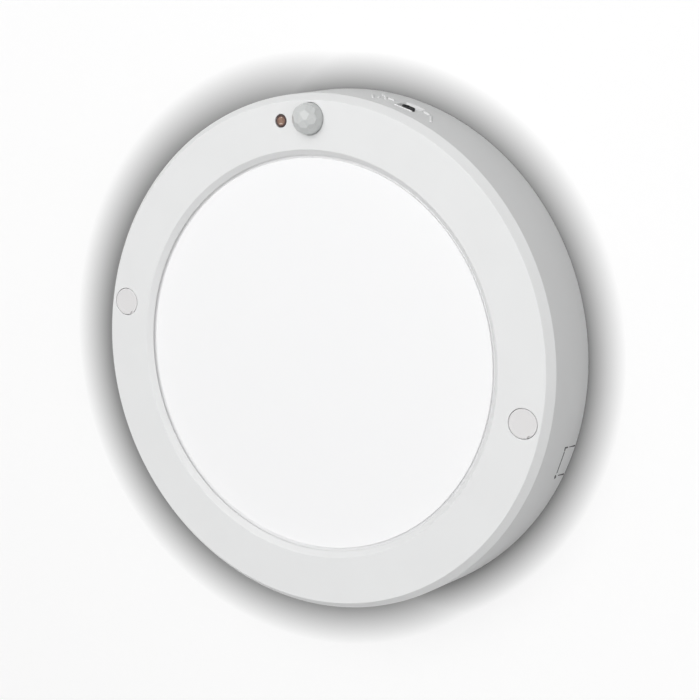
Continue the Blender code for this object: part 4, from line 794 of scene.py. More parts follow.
def housing_holes():
    """Holes for the plugs and the screws behind them, for the sensor dome and for the photocell."""
    seat = DEPTH - PLUG_HEAD - GAP
    bore = PLUG_STEM_RADIUS + GAP
    sleeve = SLEEVE_END + SLEEVE_FLOOR
    plug_hole = [(MOUNTING_HOLE_RADIUS, SLEEVE_END - OVERRUN), (MOUNTING_HOLE_RADIUS, sleeve)]
    plug_hole += [(bore, sleeve), (bore, seat), *hole_profile(PLUG_RADIUS + PLUG_GAP, seat, DEPTH)]
    holes = [(name, plug_hole) for name in PLUGS]
    for name, radius in (("fresnel_dome", DOME_RADIUS + DOME_GAP), ("photocell", CELL_RADIUS + GAP)):
        holes.append((name, hole_profile(radius, FACE_BACK - OVERRUN, DEPTH)))
    bm = bmesh.new()
    for name, profile in holes:
        turned(bm, profile, HOLE_SEGMENTS, centre=middle(name).xy)
    return bm


def pocket_cut():
    """Scooped pocket: rounded at the skin, sloping in to a flat floor."""
    rings = []
    for share in POCKET_STEP_SHARES:
        flare = EDGE if share < 0 else 0.0
        half_length = POCKET_LENGTH / 2 - POCKET_SLOPE_ALONG * share + flare
        half_width = POCKET_WIDTH / 2 - POCKET_SLOPE_ACROSS * share + flare
        outline = rectangle(half_length, half_width, POCKET_CORNER, (POCKET_SHIFT, 0))
        rings.append((outline, -POCKET_DEPTH * share))
    return shape(lofted, rings, SWITCH)


def slot_outline(margin):
    """Round-ended outline of the knob's path, wider by a margin."""
    half = (KNOB_LENGTH + SWITCH_TRAVEL - KNOB_WIDTH) / 2
    return bar((-half, 0), (half, 0), KNOB_WIDTH / 2 + margin)


def switch_slot():
    outline = slot_outline(GAP + COLLAR_WALL + TOUCH)
    low = -POCKET_DEPTH - POCKET_FLOOR - OVERRUN
    return shape(slab, outline, low, -POCKET_DEPTH + OVERRUN, SWITCH)


def knockout_dashes(low, high, margin=0.0):
    """Weakened dashes round the cable entry, between two heights over the skin."""
    bm = bmesh.new()
    for start, end, start_share, end_share in KNOCKOUT_SHARES:
        ends = [(KNOCKOUT_WIDTH * along, -KNOCKOUT_HEIGHT * rise) for along, rise in (start, end)]
        radii = [PERFORATION * share / 2 - margin for share in (start_share, end_share)]
        slab(bm, bar(*ends, *radii), low, high, KNOCKOUT)
    return bm


def front_housing():
    grown = (housing_posts(), switch_block(), switch_posts())
    whole = carved(housing_shell(), housing_holes(), pocket_cut(), switch_slot(), add=grown)
    low = -KNOCKOUT_RECESS - KNOCKOUT_LINE
    weakened = carved(whole, knockout_dashes(low, OVERRUN), overlapping=True)
    piece("housing_moulding", weakened, "white_plastic", replaces=("front_housing",))
    # Dark grey strips in the dashes' floors: painted shade where the slots would be in shadow
    lines = knockout_dashes(low + TOUCH, -KNOCKOUT_RECESS, TOUCH)
    piece("knockout_lines", lines, "thin_web", slot="white_plastic")


def raised_bar(bm, ends, width, height, matrix):
    """Bar that stands on the skin, with its upper edges sloped."""
    wide, narrow = [bar(*ends, (width - inset) / 2) for inset in (0, height)]
    lofted(bm, [(wide, -GAP), (wide, height / 2), (narrow, height)], matrix)


def pocket_lip():
    """Low bead along the front edge of the switch pocket."""
    half = POCKET_LENGTH / 2 - POCKET_CORNER
    across = -(POCKET_WIDTH + POCKET_LIP_WIDTH) / 2
    ends = ((POCKET_SHIFT - half, across), (POCKET_SHIFT + half, across))
    bead = shape(raised_bar, ends, POCKET_LIP_WIDTH, POCKET_LIP_HEIGHT, SWITCH)
    piece("pocket_lip", bead, "white_plastic")


def skirt_marks():
    """Generic raised bars and a dot on both sides of the switch."""
    bm = bmesh.new()
    for (first_angle, first_depth), (last_angle, last_depth) in MARKS:
        angle = radians((first_angle + last_angle) / 2)
        height = DEPTH - (first_depth + last_depth) / 2 * MM
        x = -radians(last_angle - first_angle) / 2 * skirt_radius(height)
        y = (last_depth - first_depth) / 2 * MM
        raised_bar(bm, ((-x, -y), (x, y)), MARK_WIDTH, MARK_HEIGHT, skirt_frame(angle, height))
    piece("skirt_marks", bm, "white_plastic")


# Lens and plugs


def diffuser_lens():
    plateau = LIP[0] - LENS_PLATEAU_INSET
    groove = LENS_HIGH.z - LENS_GROOVE_DEPTH
    points = [(0.0, LENS_HIGH.z), (plateau, LENS_HIGH.z), (plateau, groove)]
    points += [(LENS_HIGH.x, groove), (LENS_HIGH.x, LENS_LOW.z), (0.0, LENS_LOW.z)]
    profile = rounded(points, [0, LENS_ROUNDING, EDGE, EDGE, 0, 0])
    plate = shape(turned, profile[1:-1], RING_SEGMENTS)
    piece("lens_plate", plate, "opal_plastic", replaces=("diffuser_lens",))


def screw_plug(name, body):
    """Push-in cap with a hollow stem, a faint dish in its head and a notch to pry it out."""
    seat = DEPTH - PLUG_HEAD
    inner = PLUG_STEM_RADIUS - PLUG_STEM_WALL
    points = [(PLUG_RADIUS / 2, DEPTH - PLUG_DISH), (PLUG_RADIUS, DEPTH), (PLUG_RADIUS, seat)]
    points += [(PLUG_STEM_RADIUS, seat), (PLUG_STEM_RADIUS, PLUG_LOW.z), (inner, PLUG_LOW.z), (inner, seat)]
    profile = rounded(points, [0, PLUG_ROUNDING, EDGE, 0, EDGE, EDGE, 0])
    centre = middle(name).xy
    edge = centre + Vector(polar(PLUG_RADIUS, NOTCH_ANGLE))
    notch = shape(cylinder, NOTCH_RADIUS, DEPTH - PLUG_HEAD / 2, DEPTH + OVERRUN, edge)
    cap = carved(shape(turned, profile, HOLE_SEGMENTS, centre=centre), notch)
    piece(f"{name}_cap", cap, "plug_plastic", body, (name,))


# Sensor dome and photocell


def dome_directions():
    """Where the facets look: corners of a split icosahedron, turned until two neighbours look as wanted."""
    ball = bmesh.new()
    bmesh.ops.create_icosphere(ball, subdivisions=2, radius=1.0)
    directions = [vertex.co.normalized() for vertex in ball.verts]
    ball.free()
    wanted = []
    for right, up in DOME_FACETS:
        aim = Vector((sin(right), sin(up), 0.0))
        aim.z = (1 - aim.length_squared) ** 0.5
        wanted.append(aim)
    first, second = wanted
    turn = directions[0].rotation_difference(first)
    directions = [turn @ direction for direction in directions]
    neighbour = max(directions[1:], key=second.dot)
    before, after = [direction - first * first.dot(direction) for direction in (neighbour, second)]
    turn = before.rotation_difference(after)
    return [turn @ direction for direction in directions]


def faceted_dome():
    """A ball cut flat by the facets' planes, on a round neck with a flange behind the face."""
    x, y = middle("fresnel_dome").xy
    centre = Vector((x, y, DEPTH + DOME_NECK))
    bm = bmesh.new()
    flange = (DOME_HIGH.x - DOME_LOW.x) / 2
    profile = [(flange, DOME_LOW.z), (flange, DOME_LOW.z + DOME_FLANGE)]
    profile += [(DOME_RADIUS, DOME_LOW.z + DOME_FLANGE), (DOME_RADIUS, DOME_HIGH.z)]
    turned(bm, profile, HOLE_SEGMENTS, centre=(x, y))
    for direction in dome_directions():
        if direction.z > DOME_LEAST_RISE:
            geometry = bm.verts[:] + bm.edges[:] + bm.faces[:]
            plane = {"plane_co": centre + direction * DOME_REACH, "plane_no": direction}
            cut = bmesh.ops.bisect_plane(bm, geom=geometry, clear_outer=True, **plane)
            rim = [item for item in cut["geom_cut"] if isinstance(item, bmesh.types.BMEdge)]
            bmesh.ops.edgenet_fill(bm, edges=rim)
    piece("dome_lens", bm, "dome_plastic", replaces=("fresnel_dome",), smooth=DOME_SMOOTH_ANGLE)


def photocell():
    """Disc with a raised rim, a zigzag track and two contact pads on its front, and a stem behind it."""
    centre = middle("photocell").xy
    back = CELL_HIGH.z - CELL_BODY
    face = CELL_HIGH.z - TRACK_HEIGHT - TOUCH
    inner = CELL_RADIUS - CELL_RIM
    points = [(inner, face), (inner, CELL_HIGH.z), (CELL_RADIUS, CELL_HIGH.z), (CELL_RADIUS, back)]
    points += [(CELL_STEM_RADIUS, back), (CELL_STEM_RADIUS, CELL_LOW.z)]
    profile = rounded(points, [0, CELL_ROUNDING, CELL_ROUNDING, EDGE, 0, 0])[1:-1]
    body = shape(turned, profile, HOLE_SEGMENTS, centre=centre)
    piece("cell_body", body, "cell_coating", replaces=("photocell",), slot="photocell_copper")
    disc = shape(cylinder, inner, face - TOUCH, face + TOUCH, centre, HOLE_SEGMENTS)
    piece("cell_face", disc, "photocell_copper")
    for name, rows in (("cell_track", zip(TRACK_SHARES, TRACK_SHARES[1:])), ("cell_pads", PAD_SHARES)):
        bm = bmesh.new()
        for ends in rows:
            start, end = [centre + inner * Vector(share) for share in ends]
            slab(bm, bar(start, end, TRACK_WIDTH / 2), face, CELL_HIGH.z)
        piece(name, bm, name, slot="photocell_copper")


# Switch knob


def slider_knob():
    """Black round-ended knob with ridges across its top."""
    x, y, _ = SWITCH.inverted() @ middle("slider_knob")
    half = (KNOB_LENGTH - KNOB_WIDTH) / 2
    ends = ((x - half, y), (x + half, y))
    low = -POCKET_DEPTH - POCKET_FLOOR
    top = -KNOB_RECESS
    wide, narrow = [bar(*ends, KNOB_WIDTH / 2 - inset) for inset in (0, EDGE)]
    bm = bmesh.new()
    lofted(bm, [(wide, low), (wide, top - 2 * EDGE), (narrow, top - EDGE)], SWITCH)
    pitch = KNOB_LENGTH / (KNOB_RIDGES + 2)
    for number in range(KNOB_RIDGES):
        offset = x + (number - (KNOB_RIDGES - 1) / 2) * pitch
        foot, crest = [
            rectangle(pitch * share, KNOB_WIDTH / 2 - inset, EDGE * share, (offset, y))
            for share, inset in RIDGE_SHARES
        ]
        lofted(bm, [(foot, top - RIDGE_HEIGHT), (foot, top - EDGE / 2), (crest, top)], SWITCH)
    piece("switch_knob_cap", bm, "black_plastic", "switch_knob", ("slider_knob",))


def switch_collar():
    """Black collar of the switch that stands in the pocket round the knob's path."""
    low = -POCKET_DEPTH - POCKET_FLOOR
    top = -COLLAR_RECESS
    shoulder = top - COLLAR_BEVEL
    steps = ((COLLAR_WALL, low), (COLLAR_WALL, shoulder), (COLLAR_WALL - COLLAR_BEVEL, top))
    steps += ((COLLAR_BEVEL, top), (0, shoulder), (0, low))
    rings = [(slot_outline(GAP + wall), height) for wall, height in steps]
    piece("switch_collar", shape(lofted, rings, SWITCH, hollow=True), "black_plastic")


# Screws


def cross_outline(reach, half):
    """Outline of a cross recess, from its reach and half the width of its arms."""
    quarter = [(reach, -half), (reach, half), (half, half)]
    outline = []
    for turn in range(4):
        angle = turn * pi / 2
        outline += [(x * cos(angle) - y * sin(angle), x * sin(angle) + y * cos(angle)) for x, y in quarter]
    return outline


def screw(node_name, matrix, size, finish_name="zinc_steel", slotted=False):
    """Threaded shank along Z from a domed head, with a cross recess or a slot in the head."""
    radius, length, head_radius, head_height = size
    profile = [(radius * SCREW_TIP_SHARE, length)]
    for turn in range(int((length - radius) / THREAD_PITCH)):
        height = length - radius - turn * THREAD_PITCH
        profile += [(radius, height), (radius * THREAD_ROOT_SHARE, height - THREAD_PITCH / 2)]
    profile += [(radius, 0.0), (head_radius, 0.0)]
    edge = head_height * HEAD_EDGE_SHARE
    for turn in arc(HEAD_ARC):
        rise = edge + (head_height - edge) * sin(turn) / sin(HEAD_ARC)
        profile.append((head_radius * cos(turn), -rise))
    reach, half = head_radius * RECESS_SHARE, head_radius * RECESS_ARM_SHARE
    outside, bottom = -head_height - OVERRUN, -head_height / 2
    if slotted:
        recess = shape(slab, rectangle(head_radius + OVERRUN, half), outside, bottom)
    else:
        wide, narrow = [cross_outline(reach * scale, half * scale) for scale in (1.0, RECESS_SHARE)]
        recess = shape(lofted, [(wide, outside), (wide, -head_height), (narrow, bottom)])
    made = carved(shape(turned, profile, POST_SEGMENTS), recess)
    made.transform(matrix)
    piece(f"{node_name}_piece", made, finish_name, replaces=(node_name,))


def upright_screws(names, radius, head_height, into_wall=False, **options):
    """Screws along the light's axis, as large as their nodes."""
    for name in names:
        low, high = lamp_box(name)
        head_radius = (high.x - low.x) / 2
        size = (radius, high.z - low.z - head_height, head_radius, head_height)
        x, y = middle(name).xy
        if into_wall:
            matrix = Matrix.Translation((x, y, high.z - head_height)) @ Matrix.Rotation(pi, 4, "X")
        else:
            matrix = Matrix.Translation((x, y, low.z + head_height))
        screw(name, matrix, size, **options)


def screws():
    upright_screws(MOUNTING_SCREWS, *MOUNTING_SCREW_SIZE, into_wall=True)
    upright_screws(PAN_SCREWS, *PAN_SCREW_SIZE)
    upright_screws(DRIVER_SCREWS, *DRIVER_SCREW_SIZE)
    upright_screws(SENSOR_SCREWS, *BOARD_SCREW_SIZE)
    upright_screws(("earth_screw",), *EARTH_SCREW_SIZE, finish_name="brass", slotted=True)
    radius, head_height = BOARD_SCREW_SIZE
    size = (radius, SWITCH_SCREW_LENGTH, SWITCH_HEAD_RADIUS, head_height)
    for name, side in (("switch_screw_1", -1), ("switch_screw_2", 1)):
        place = (side * SWITCH_POST_OFFSET, 0, SWITCH_BOARD_BACK - GAP)
        screw(name, SWITCH @ Matrix.Translation(place), size)


def terminal_screws():
    """Slotted screws without a head, sunk in the terminal block."""
    for name in TERMINAL_SCREWS:
        low, high = lamp_box(name)
        centre = middle(name).xy
        radius = (high.x - low.x) / 2
        profile = [(radius - EDGE, low.z), (radius, low.z + EDGE), (radius, high.z)]
        outline = rectangle(radius + OVERRUN, radius * RECESS_ARM_SHARE, centre=centre)
        slot = shape(slab, outline, low.z - OVERRUN, middle(name).z)
        made = carved(shape(turned, profile, POST_SEGMENTS, centre=centre), slot)
        piece(f"{name}_piece", made, "brass", replaces=(name,))


# Pan, bracket, driver cover and terminal block


def light_pan():
    """Pressed pan with rounded rim and screw ears, and two rings coined into its back."""
    back, front = PAN_LOW.z, PAN_LOW.z + SHEET
    coined = []
    for radius in COINED_RINGS:
        coined += [(radius + COINED_WIDTH * out, back + COINED_DEPTH * deep) for out, deep in COINED_SHARES]
    rim = [(PAN_RIM, back), (PAN_RIM, PAN_HIGH.z), (PAN_RIM - SHEET, PAN_HIGH.z), (PAN_RIM - SHEET, front)]
    radii = [0, *[EDGE] * len(coined), SHEET, EDGE, EDGE, EDGE, 0]
    profile = rounded([(0, back), *coined, *rim, (0, front)], radii)[1:-1]
    ears = bmesh.new()
    holes = bmesh.new()
    for name in PAN_SCREWS:
        place = middle(name).xy
        inner = place.normalized() * (PAN_RIM - 2 * SHEET)
        slab(ears, bar(inner, place, PAN_EAR_HALF_WIDTH), back, front)
        cylinder(holes, PAN_SCREW_SIZE[0] + GAP, back - OVERRUN, front + OVERRUN, place)
    outline = rectangle(2 * SHEET, LED_WIRE_PITCH / 2 + 2 * WIRE_RADIUS, centre=(PAN_RIM, 0))
    turn = Matrix.Rotation(LED_EXIT_ANGLE, 4, "Z")
    notch = shape(slab, outline, GUIDE_LOW.z, PAN_HIGH.z + OVERRUN, turn)
    disc = shape(turned, profile, RING_SEGMENTS)
    whole = carved(disc, holes, notch, add=(ears,))
    piece("pan_pressing", whole, "aluminium_sheet", replaces=("light_pan",))


def mounting_bracket():
    """Bent steel bar with rounded corners and bends, slots and screw holes."""
    far = middle("mounting_screw_right").xy
    turn = atan2(far.y, far.x)
    half = far.length + BRACKET_END_MARGIN
    start = half - BRACKET_END_LENGTH
    end = start + BRACKET_RAMP
    under = [(-half, BRACKET_RISE), (-end, BRACKET_RISE), (-start, 0.0), (start, 0.0), (end, BRACKET_RISE)]
    under.append((half, BRACKET_RISE))
    over = [(x, height + BRACKET_SHEET) for x, height in reversed(under)]
    inner, outer = BRACKET_SHEET, 2 * BRACKET_SHEET
    bends = [0, inner, outer, outer, inner, 0, 0, outer, inner, inner, outer, 0]
    outline = rounded(under + over, bends)
    sheet = shape(slab, outline, -BRACKET_WIDTH / 2, BRACKET_WIDTH / 2, Matrix.Rotation(pi / 2, 4, "X"))
    corners = rectangle(half + TOUCH, BRACKET_WIDTH / 2 + TOUCH, BRACKET_CORNER)
    plan = shape(slab, corners, -OVERRUN, 2 * BRACKET_RISE)
    cuts = bmesh.new()
    for side in (-1, 1):
        ends = [(side * BRACKET_SLOT_OFFSET + step * BRACKET_SLOT_HALF, 0) for step in (-1, 1)]
        slab(cuts, bar(*ends, BRACKET_SLOT_RADIUS), -OVERRUN, BRACKET_SHEET + OVERRUN)
        cylinder(cuts, MOUNTING_SCREW_SIZE[0] + GAP, BRACKET_SHEET, 2 * BRACKET_RISE, (side * far.length, 0))
    whole = carved(sheet, cuts, within=(plan,))
    whole.transform(Matrix.Rotation(turn, 4, "Z"))
    piece("bracket_bar", whole, "zinc_steel", replaces=("mounting_bracket",), bevel=EDGE / 2)


def driver_cover():
    """Rounded cover with a sunk bare panel, vents, screw ears and notches for the wires."""
    back, front = COVER_LOW.z, COVER_HIGH.z
    x, y = middle("driver_cover").xy
    half_x = (COVER_HIGH.x - COVER_LOW.x) / 2 - COVER_EAR
    half_y = (COVER_HIGH.y - COVER_LOW.y) / 2
    rings = []
    for turn in arc(pi / 2):
        inset = COVER_ROUNDING * (1 - sin(turn))
        outline = rectangle(half_x - inset, half_y - inset, COVER_CORNER - inset / 2, (x, y))
        rings.append((outline, back + COVER_ROUNDING * (1 - cos(turn))))
    block = shape(lofted, [*rings, (rectangle(half_x, half_y, COVER_CORNER, (x, y)), front)])
    inner = rectangle(half_x - COVER_WALL, half_y - COVER_WALL, COVER_CORNER - COVER_WALL, (x, y))
    room = shape(slab, inner, back + COVER_WALL, front + OVERRUN)
    ears, holes, cuts, vents = [bmesh.new() for _ in range(4)]
    for name in DRIVER_SCREWS:
        centre = middle(name).xy
        ear = rectangle(COVER_EAR / 2 + COVER_WALL, COVER_EAR_HALF_WIDTH, COVER_EAR / 4, centre)
        slab(ears, ear, front - COVER_EAR_THICKNESS, front)
        cylinder(holes, DRIVER_SCREW_SIZE[0] + GAP, back, front + OVERRUN, centre)
    notch_low = DRIVER_WIRE_HEIGHT - NOTCH_HALF / 2
    through = COVER_WALL + EDGE
    notches = (
        ((x - half_x, LED_WIRE_Y), through, NOTCH_HALF),
        ((0.0, y + half_y), NOTCH_HALF, through),
        ((MAINS_NOTCH_X, y - half_y), NOTCH_HALF, through),
    )
    for centre, reach_x, reach_y in notches:
        slab(cuts, rectangle(reach_x, reach_y, centre=centre), notch_low, notch_low + NOTCH_HALF)
    panel = [half * share for half, share in zip((half_x, half_y), PANEL_SHARES)]
    slab(cuts, rectangle(*panel, EDGE, (x, y)), back - OVERRUN, back + PANEL_DEPTH)
    for side in (-1, 1):
        for number in range(VENT_COUNT):
            across = y + half_y * VENT_SPREAD_SHARE * (2 * number / (VENT_COUNT - 1) - 1)
            along = x + side * half_x * VENT_PLACE_SHARE
            ends = [(along + step * VENT_HALF_LENGTH, across) for step in (-1, 1)]
            slab(vents, bar(*ends, VENT_RADIUS), back - OVERRUN, back + COVER_WALL + OVERRUN)
    whole = carved(block, room, holes, cuts, vents, add=(ears,))
    piece("driver_hood", whole, "hood_plastic", replaces=("driver_cover",), slot="white_plastic")


def terminal_block():
    """Three rounded towers on a common foot, with a wire bore and a screw well through each."""
    low, high = TERMINAL_LOW.z, TERMINAL_HIGH.z
    centre = middle("terminal_block").xy
    half_x, half_y = [side / 2 for side in (TERMINAL_HIGH - TERMINAL_LOW).xy]
    foot_low = low + (high - low) * TERMINAL_FOOT_SHARE
    foot = shape(slab, rectangle(half_x, half_y - 4 * EDGE, EDGE, centre), foot_low, high)
    bore_height = high - TERMINAL_BORE_HEIGHT
    part = half_x / len(TERMINAL_SCREWS)
    towers, wells, bores = [bmesh.new() for _ in range(3)]
    for name in TERMINAL_SCREWS:
        place = middle(name).xy
        wide, narrow = [rectangle(part - step, half_y - step, EDGE, place) for step in (EDGE, 3 * EDGE)]
        lofted(towers, [(narrow, low), (wide, low + 2 * EDGE), (wide, high - EDGE)])
        cylinder(wells, TERMINAL_WELL_RADIUS, low - OVERRUN, bore_height, place)
        cylinder(bores, TERMINAL_BORE_RADIUS, -half_y - OVERRUN, half_y + OVERRUN, (place.x, 0))
    bores.transform(Matrix.Translation((0, centre.y, bore_height)) @ Matrix.Rotation(pi / 2, 4, "X"))
    whole = carved(foot, wells, bores, add=(towers,))
    piece("terminal_ways", whole, "terminal_plastic", replaces=("terminal_block",), slot="white_plastic")


# Wires


def smooth_route(points, step):
    """Points along a smooth curve through the route's own points, straight at both ends."""
    points = [Vector(point) for point in points]
    lead_in = (points[0] + points[1]) / 2
    lead_out = (points[-1] + points[-2]) / 2
    points = [points[0], lead_in, *points[1:-1], lead_out, points[-1]]
    padded = [2 * points[0] - points[1], *points, 2 * points[-1] - points[-2]]
    route = []
    for before, start, end, after in zip(padded, padded[1:], padded[2:], padded[3:]):
        count = max(1, round((end - start).length / step))
        for index in range(count):
            t = index / count
            pull = (end - before) * t + (2 * before - 5 * start + 4 * end - after) * t * t
            pull += (3 * start - before - 3 * end + after) * t * t * t
            route.append(start + pull / 2)
    return [*route, points[-1]]


def wire(name, points, radius, finish_name):
    """A lead along its route, in place of its node."""
    route = smooth_route(points, 2 * radius)
    piece(f"{name}_lead", shape(tube, route, radius), finish_name, replaces=(name,))
    return route


def mains_wires():
    """Wires from the terminal block: two to the driver and one, striped, to the earth screw."""
    height = TERMINAL_HIGH.z - TERMINAL_BORE_HEIGHT
    start = TERMINAL_HIGH.y - WIRE_END
    neutral, live, earth = [
        [(middle(name).x, y, height) for y in (start, start + 2 * WIRE_END)] for name in TERMINAL_SCREWS
    ]
    steps = (COVER_LOW.y - 2 * WIRE_LAY, COVER_LOW.y - WIRE_LAY, DRIVER_LOW.y + WIRE_END / 2)
    leads = ((neutral, "neutral_wire", "neutral_blue", -1), (live, "live_wire", "live_brown", 1))
    for way, name, finish_name, side in leads:
        x = MAINS_NOTCH_X + side * MAINS_WIRE_PITCH / 2
        wire(name, [*way, *[(x, y, DRIVER_WIRE_HEIGHT) for y in steps]], WIRE_RADIUS, finish_name)
    low = lamp_box("earth_screw")[0]
    end = Vector((middle("earth_screw").x, low.y - GAP, low.z + EARTH_SCREW_SIZE[1] / 2))
    route = wire("earth_wire", [*earth, end - Vector((0, WIRE_LAY, 0)), end], WIRE_RADIUS, "earth_green")
    raised = [point - Vector((0, 0, WIRE_RADIUS / 2)) for point in route]
    stripe = shape(tube, raised, WIRE_RADIUS * STRIPE_SHARE)
    piece("earth_stripe", stripe, "earth_yellow", slot="earth_green")


def led_wires():
    """Two wires from the driver's end, round the pan's rim and in to the strip."""
    contact = (GUIDE_LOW.z + GUIDE_HIGH.z) / 2
    loop = PAN_RIM + LED_WIRE_LOOP
    rim_points = [
        (PAN_RIM - 2 * WIRE_LAY, DRIVER_WIRE_HEIGHT), (loop - WIRE_RADIUS, PAN_LOW.z - WIRE_LAY / 2),
        (loop, PAN_LOW.z + SHEET), (loop - WIRE_RADIUS, contact - WIRE_RADIUS / 2),
        (PAN_RIM + WIRE_RADIUS, contact), (PAN_RIM - SHEET, contact),
    ]
    radial = Vector((*polar(1, LED_EXIT_ANGLE), 0))
    along = Vector((-radial.y, radial.x, 0))
    for name, finish_name, side in (("led_wire_plus", "wire_red", 1), ("led_wire_minus", "wire_black", -1)):
        offset = side * LED_WIRE_PITCH / 2
        points = []
        for reach in (WIRE_END / 2, 0.0, -WIRE_LAY):
            points.append(Vector((DRIVER_LOW.x + reach, LED_WIRE_Y - offset, DRIVER_WIRE_HEIGHT)))
        for radius, height in rim_points:
            points.append(radial * radius + along * offset + Vector((0, 0, height)))
        wire(name, points, WIRE_RADIUS, finish_name)


def sensor_cables():
    """Grey cables from the driver to the sensor board, and on to the switch board."""
    back = SENSORS_LOW.z - GAP
    first = SENSORS_LOW.y + 2 * SENSOR_CABLE_RADIUS
    lay = DRIVER_LOW.z - GAP - SENSOR_CABLE_RADIUS
    steps = (first - WIRE_LAY, COVER_HIGH.y + WIRE_LAY, DRIVER_HIGH.y - WIRE_END / 2)
    points = [(0, first, back), (0, first, back - WIRE_LAY / 2), *[(0, y, lay) for y in steps]]
    wire("sensor_cable", points, SENSOR_CABLE_RADIUS, "wire_grey")
    height = SWITCH_BOARD_BACK - GAP
    start, lead = [SWITCH @ Vector((-SWITCH_CABLE_OFFSET, 0, height - reach)) for reach in (0, WIRE_LAY / 2)]
    sag = Vector((0, 0, WIRE_LAY * SWITCH_CABLE_SAG_SHARE))
    end_y = (middle("fresnel_dome").y + SENSORS_LOW.y) / 2
    end = Vector((SENSORS_HIGH.x * SWITCH_CABLE_END_SHARE, end_y, back))
    lowered = end - Vector((0, 0, WIRE_LAY))
    between = (start + lowered) / 2 - Vector((0, WIRE_LAY / 2, 0)) - sag
    wire("switch_cable", [start, lead, between, lowered + sag, end], SWITCH_CABLE_RADIUS, "wire_grey")


# Small parts of the boards


def board_parts(name, rows, finish_name, matrix):
    """Bevelled blocks that stand on the back of a board."""
    bm = bmesh.new()
    for centre, halves, height in rows:
        place = [value * MM for value in centre]
        half_x, half_y = [value * MM for value in halves]
        bevel = min(half_x, half_y) * PART_BEVEL_SHARE
        wide = rectangle(half_x, half_y, bevel, place)
        narrow = rectangle(half_x - bevel, half_y - bevel, bevel, place)
        lofted(bm, [(narrow, -height * MM), (wide, bevel - height * MM), (wide, TOUCH)], matrix)
    piece(name, bm, finish_name)


def boards():
    sensors = Matrix.Translation((*middle("sensor_board").xy, SENSORS_LOW.z))
    switch = SWITCH @ Matrix.Translation((0, 0, SWITCH_BOARD_BACK))
    board_parts("sensor_connectors", SENSOR_CONNECTORS, "white_plastic", sensors)
    board_parts("sensor_chips", SENSOR_CHIPS, "black_plastic", sensors)
    board_parts("switch_connector", SWITCH_CONNECTORS, "white_plastic", switch)
    board_parts("switch_chips", SWITCH_CHIPS, "black_plastic", switch)


# Finishes of the CAD nodes that stay


def dress_nodes():
    for item in frame["nodes"].values():
        for slot in item.material_slots:
            slot.material = finish(slot.material.name.split(".")[0])
    for name in SOFTENED:
        soften(frame["nodes"][name], EDGE / 2)


# Stage, light and camera


def camera():
    azimuth, elevation, roll = CAMERA_AZIMUTH, CAMERA_ELEVATION, CAMERA_ROLL
    back = Vector((sin(azimuth) * cos(elevation), -cos(azimuth) * cos(elevation), sin(elevation)))
    right = Vector((cos(azimuth), sin(azimuth), 0))
    up = back.cross(right)
    right, up = right * cos(roll) + up * sin(roll), up * cos(roll) - right * sin(roll)
    side, rise, away = [share * SHOULDER[0] for share in CAMERA_SHARES]
    place = Vector((0, -DEPTH, 0)) + right * side + up * rise + back * away
    data = bpy.data.cameras.new("camera")
    data.lens = CAMERA_LENS
    made = bpy.data.objects.new("camera", data)
    bpy.context.scene.collection.objects.link(made)
    made.matrix_world = Matrix.Translation(place) @ Matrix((right, up, back)).transposed().to_4x4()
    bpy.context.scene.camera = made


def stage_object(name, bm, finish_made):
    made = loose_object(name, bm, closed=False)
    made.data.materials.append(finish_made)


def wall():
    """Wall with a round opening behind the light, which leaves the light's back in view."""
    bm = bmesh.new()
    inner, outer = [
        [bm.verts.new((*polar(radius, angle), 0)) for angle in ring_angles(WALL_SEGMENTS)]
        for radius in (REAR[0] - GAP, WALL_REACH)
    ]
    for index in range(WALL_SEGMENTS):
        bm.faces.new((inner[index - 1], outer[index - 1], outer[index], inner[index]))
    bm.transform(Matrix.Translation((0, WALL_GAP, 0)) @ STAND_UP)
    stage_object("wall", bm, wall_finish())


def floor():
    bm = bmesh.new()
    corners = rectangle(FLOOR_REACH, FLOOR_REACH)
    bm.faces.new([bm.verts.new((x, y, FLOOR_HEIGHT)) for x, y in corners])
    made, tree, output = stage_material("floor_finish")
    paint = node(tree, "ShaderNodeBsdfDiffuse", Color=(FLOOR_PAINT, FLOOR_PAINT, FLOOR_PAINT, 1.0))
    feed(tree, output.inputs[0], with_glow(tree, paint, FLOOR_GLOW))
    stage_object("floor", bm, made)


def stage_material(name):
    made = bpy.data.materials.new(name)
    made.use_nodes = True
    tree = made.node_tree
    tree.nodes.clear()
    return made, tree, node(tree, "ShaderNodeOutputMaterial")


def seen(tree):
    """One for what the camera sees, also through the light's pieces or mirrored in them, else nothing."""
    path = node(tree, "ShaderNodeLightPath").outputs
    direct = maths(tree, "MAXIMUM", path["Is Camera Ray"], path["Is Transmission Ray"])
    return maths(tree, "MAXIMUM", direct, path["Is Glossy Ray"])


def with_glow(tree, paint, strength):
    """Paint that is lifted to white where it is seen."""
    lift = maths(tree, "MULTIPLY", seen(tree), strength)
    glow = node(tree, "ShaderNodeEmission", Color=WHITE, Strength=lift)
    return joined(tree, "ShaderNodeAddShader", paint.outputs[0], glow.outputs[0])


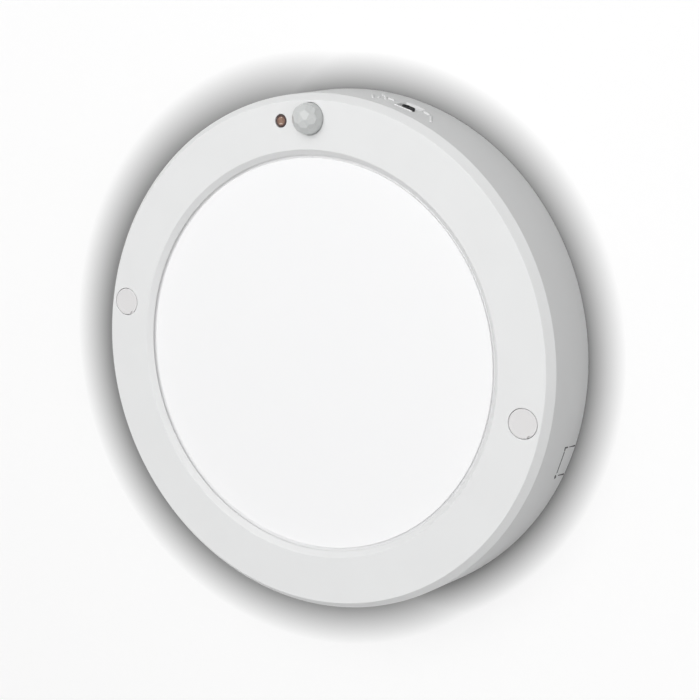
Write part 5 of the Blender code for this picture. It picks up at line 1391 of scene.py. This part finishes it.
def wall_finish():
    """Pale wall, greyer close to the light in a painted shadow, and see-through from behind."""
    made, tree, output = stage_material("wall_finish")
    place = node(tree, "ShaderNodeTexCoord").outputs["Object"]
    # Painted shadow: within two rings round the light the paint turns greyer and its lift to white fades
    shares = []
    for centre, radius, width in WALL_SHADOW_RINGS:
        away = joined(tree, "ShaderNodeVectorMath", place, centre).node
        away.operation = "DISTANCE"
        reach = {"Value": away.outputs["Value"], "From_Min": radius, "From_Max": radius + width}
        shares.append(node(tree, "ShaderNodeMapRange", **reach).outputs[0])
    outside_painted_shadow = maths(tree, "MINIMUM", *shares)
    near, far = [(value, value, value) for value in WALL_SHADOW_AND_BARE_PAINT]
    paint = node(tree, "ShaderNodeBsdfDiffuse", Color=mixed_colour(tree, outside_painted_shadow, near, far))
    front = with_glow(tree, paint, maths(tree, "MULTIPLY", outside_painted_shadow, WALL_GLOW))
    behind = node(tree, "ShaderNodeNewGeometry").outputs["Backfacing"]
    clear = node(tree, "ShaderNodeBsdfTransparent").outputs[0]
    feed(tree, output.inputs[0], joined(tree, "ShaderNodeMixShader", behind, front, clear))
    return made


def area_light(name, place, power):
    """Large round lamp aimed at the light's middle."""
    data = bpy.data.lights.new(name, "AREA")
    data.shape = "DISK"
    data.size = LAMP_SIZE
    data.energy = power
    made = bpy.data.objects.new(name, data)
    bpy.context.scene.collection.objects.link(made)
    made.location = place
    made.rotation_euler = (-Vector(place)).to_track_quat("-Z", "Y").to_euler()


def surroundings():
    """White studio to the camera, whose light comes mostly from the front and the back."""
    world = bpy.data.worlds.new("studio")
    bpy.context.scene.world = world
    world.use_nodes = True
    tree = world.node_tree
    tree.nodes.clear()
    direction = node(tree, "ShaderNodeTexCoord").outputs["Generated"]
    front = maths(tree, "ABSOLUTE", node(tree, "ShaderNodeSeparateXYZ", Vector=direction).outputs["Y"])
    strength = maths(tree, "MULTIPLY_ADD", front, STUDIO_FRONT, STUDIO_SIDE)
    studio = node(tree, "ShaderNodeBackground", Color=WHITE, Strength=strength).outputs[0]
    white = node(tree, "ShaderNodeBackground", Color=WHITE, Strength=1.0).outputs[0]
    output = node(tree, "ShaderNodeOutputWorld")
    feed(tree, output.inputs[0], joined(tree, "ShaderNodeMixShader", seen(tree), studio, white))


camera()
front_housing()
pocket_lip()
skirt_marks()
diffuser_lens()
screw_plug("plug_right", "right_plug")
screw_plug("plug_left", "left_plug")
faceted_dome()
photocell()
slider_knob()
switch_collar()
screws()
terminal_screws()
light_pan()
mounting_bracket()
driver_cover()
terminal_block()
mains_wires()
led_wires()
sensor_cables()
boards()
dress_nodes()
wall()
floor()
surroundings()
area_light("key", KEY_PLACE, KEY_POWER)
area_light("fill", FILL_PLACE, FILL_POWER)
bpy.context.scene.view_settings.view_transform = "Standard"
